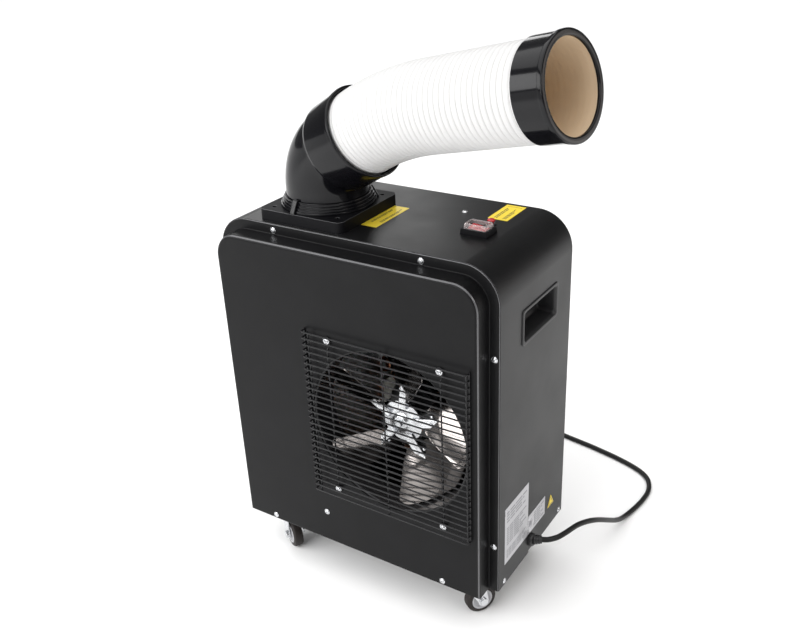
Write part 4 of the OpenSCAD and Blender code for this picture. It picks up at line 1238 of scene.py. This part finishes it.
def make_gland():
    """A flange on the cover, and a ribbed boot that tapers along the cord."""
    root = at(HALF_W, *GLAND)
    flange = facing(root, (1, 0, 0))
    ring = [(3.6, -10), (6, -10), (6, 0), (8.5, 0), (8.5, 2.6), (8.2, 3.4), (7.4, 4), (3.6, 4)]
    parts = [lathe("flange", ring, MATT_BLACK, flange, 48)]
    lean = radians(BOOT_TURN)
    ahead = Vector((cos(lean), sin(lean), tan(radians(BOOT_RISE))))
    boot = [(3.6, 0)]
    for i in range(3):
        s = 3.6 + 2.9 * i
        r = 6.6 - 1.4 * (s - 3.4) / 9
        boot += [(r, s), (r, s + 1.6), (r - 0.7, s + 1.9), (r - 0.7, s + 2.6)]
    boot += [(5.1, 13.2), (4.7, 13.8), (3.6, 13.8)]
    parts.append(lathe("boot", boot, MATT_BLACK, facing(root, ahead), 40))
    settle(joined("cord_gland", parts), "black_plastic", "cable_gland")


make_gland()

# ---- casters

WHEEL_W = 15


def make_wheel(name):
    """A moulded wheel disc with a raised bead and a hub, and a rubber tyre round it."""
    axle = JOINTS["wheel_spin_" + name]
    where = facing(Vector(axle["pos_m"]), Vector(axle["axis"]))
    w = WHEEL_W / 2
    half = [(3.1, w), (5.0, w), (5.4, w - 0.3), (5.6, w - 1.6), (7.0, w - 2.0), (10.6, w - 1.8),
        (11.2, w - 0.6), (12.0, w - 0.2), (13.2, w - 0.2), (13.9, w - 0.7), (14.0, w - 1.2)]
    disc = lathe("disc", half + [(r, -z) for r, z in reversed(half)], DISC, where, 64, 30)
    side = [(13.8, w - 1.4), (14.2, w - 0.9), (15.2, w - 0.7), (17.0, w - 1.0)]
    side += quarter((18.0, w - 1.3), (20.0, w - 3.9), (19.6, w - 1.7), 5)
    tyre = lathe("tyre", side + [(r, -z) for r, z in reversed(side)], TYRE, where, 80, 40)
    wheel = joined("wheel_" + name + "_set", [disc, tyre])
    settle(wheel, "tyre_rubber", "caster_wheel_" + name, body="wheel_" + name)


for caster in ("fl", "fr", "rl", "rr"):
    make_wheel(caster)
    soften("caster_fork_" + caster, ZINC, 0.35, "zinc", "fork_" + caster)
soften("caster_plates", ZINC, 0.4, "zinc")

# ---- rear and inside

PLAIN = ((ZINC, "motor_bracket partition_plate control_box"),
    (ENAMEL, "fan_motor compressor accumulator blower_motor"), (FIN, "condenser_fins evaporator_fins"),
    (COPPER, "condenser_tubes evaporator_tubes refrigerant_pipes"), (RUBBER, "compressor_feet"),
    (IVORY, "blower_scroll drain_tray run_capacitor"), (RED, "drain_plug"),
    (MATT_BLACK, "blower_wheel drain_spout thermostat"))
for material, nodes in PLAIN:
    for node in nodes.split():
        mesh = frame["nodes"][node].data
        mesh.materials.clear()
        mesh.materials.append(material)


def make_filter():
    """A moulded frame with cross ribs over a fine mesh."""
    low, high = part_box("air_filter")
    where = Matrix.Translation((low + high) / 2) @ turn("X", 90)
    w, t, h = (high - low) / MM
    rim = drawn_in(w, h, (0, 2, t / 2 - 0.5), (1, 1.8, t / 2), (13, 1.2, t / 2), (14, 1, t / 2 - 0.5))
    rim += [(a, b, r, -z) for a, b, r, z in reversed(rim)]
    parts = [baked(stacked("rim", rim, MATT_BLACK, where, closed=True))]
    sheet = stacked("mesh", drawn_in(w, h, (13.6, 1, -0.35), (13.6, 1, 0.35)), MESH, where)
    parts.append(baked(sheet))
    ribs = [(x * w / 6, 0, 1.6, h - 14, 1.4) for x in (-1, 1)]
    ribs += [(0, z * h / 4, w - 14, 1.6, 1.3) for z in (-1, 0, 1)]
    for x, y, wide, high, half in ribs:
        rib = [(wide, high, 0.4, -half), (wide, high, 0.4, half)]
        spot = where @ Matrix.Translation((x * MM, y * MM, 0))
        parts.append(baked(stacked("rib", rib, MATT_BLACK, spot)))
    settle(joined("air_filter_frame", parts), "filter_mesh", "air_filter", body="filter")


make_filter()
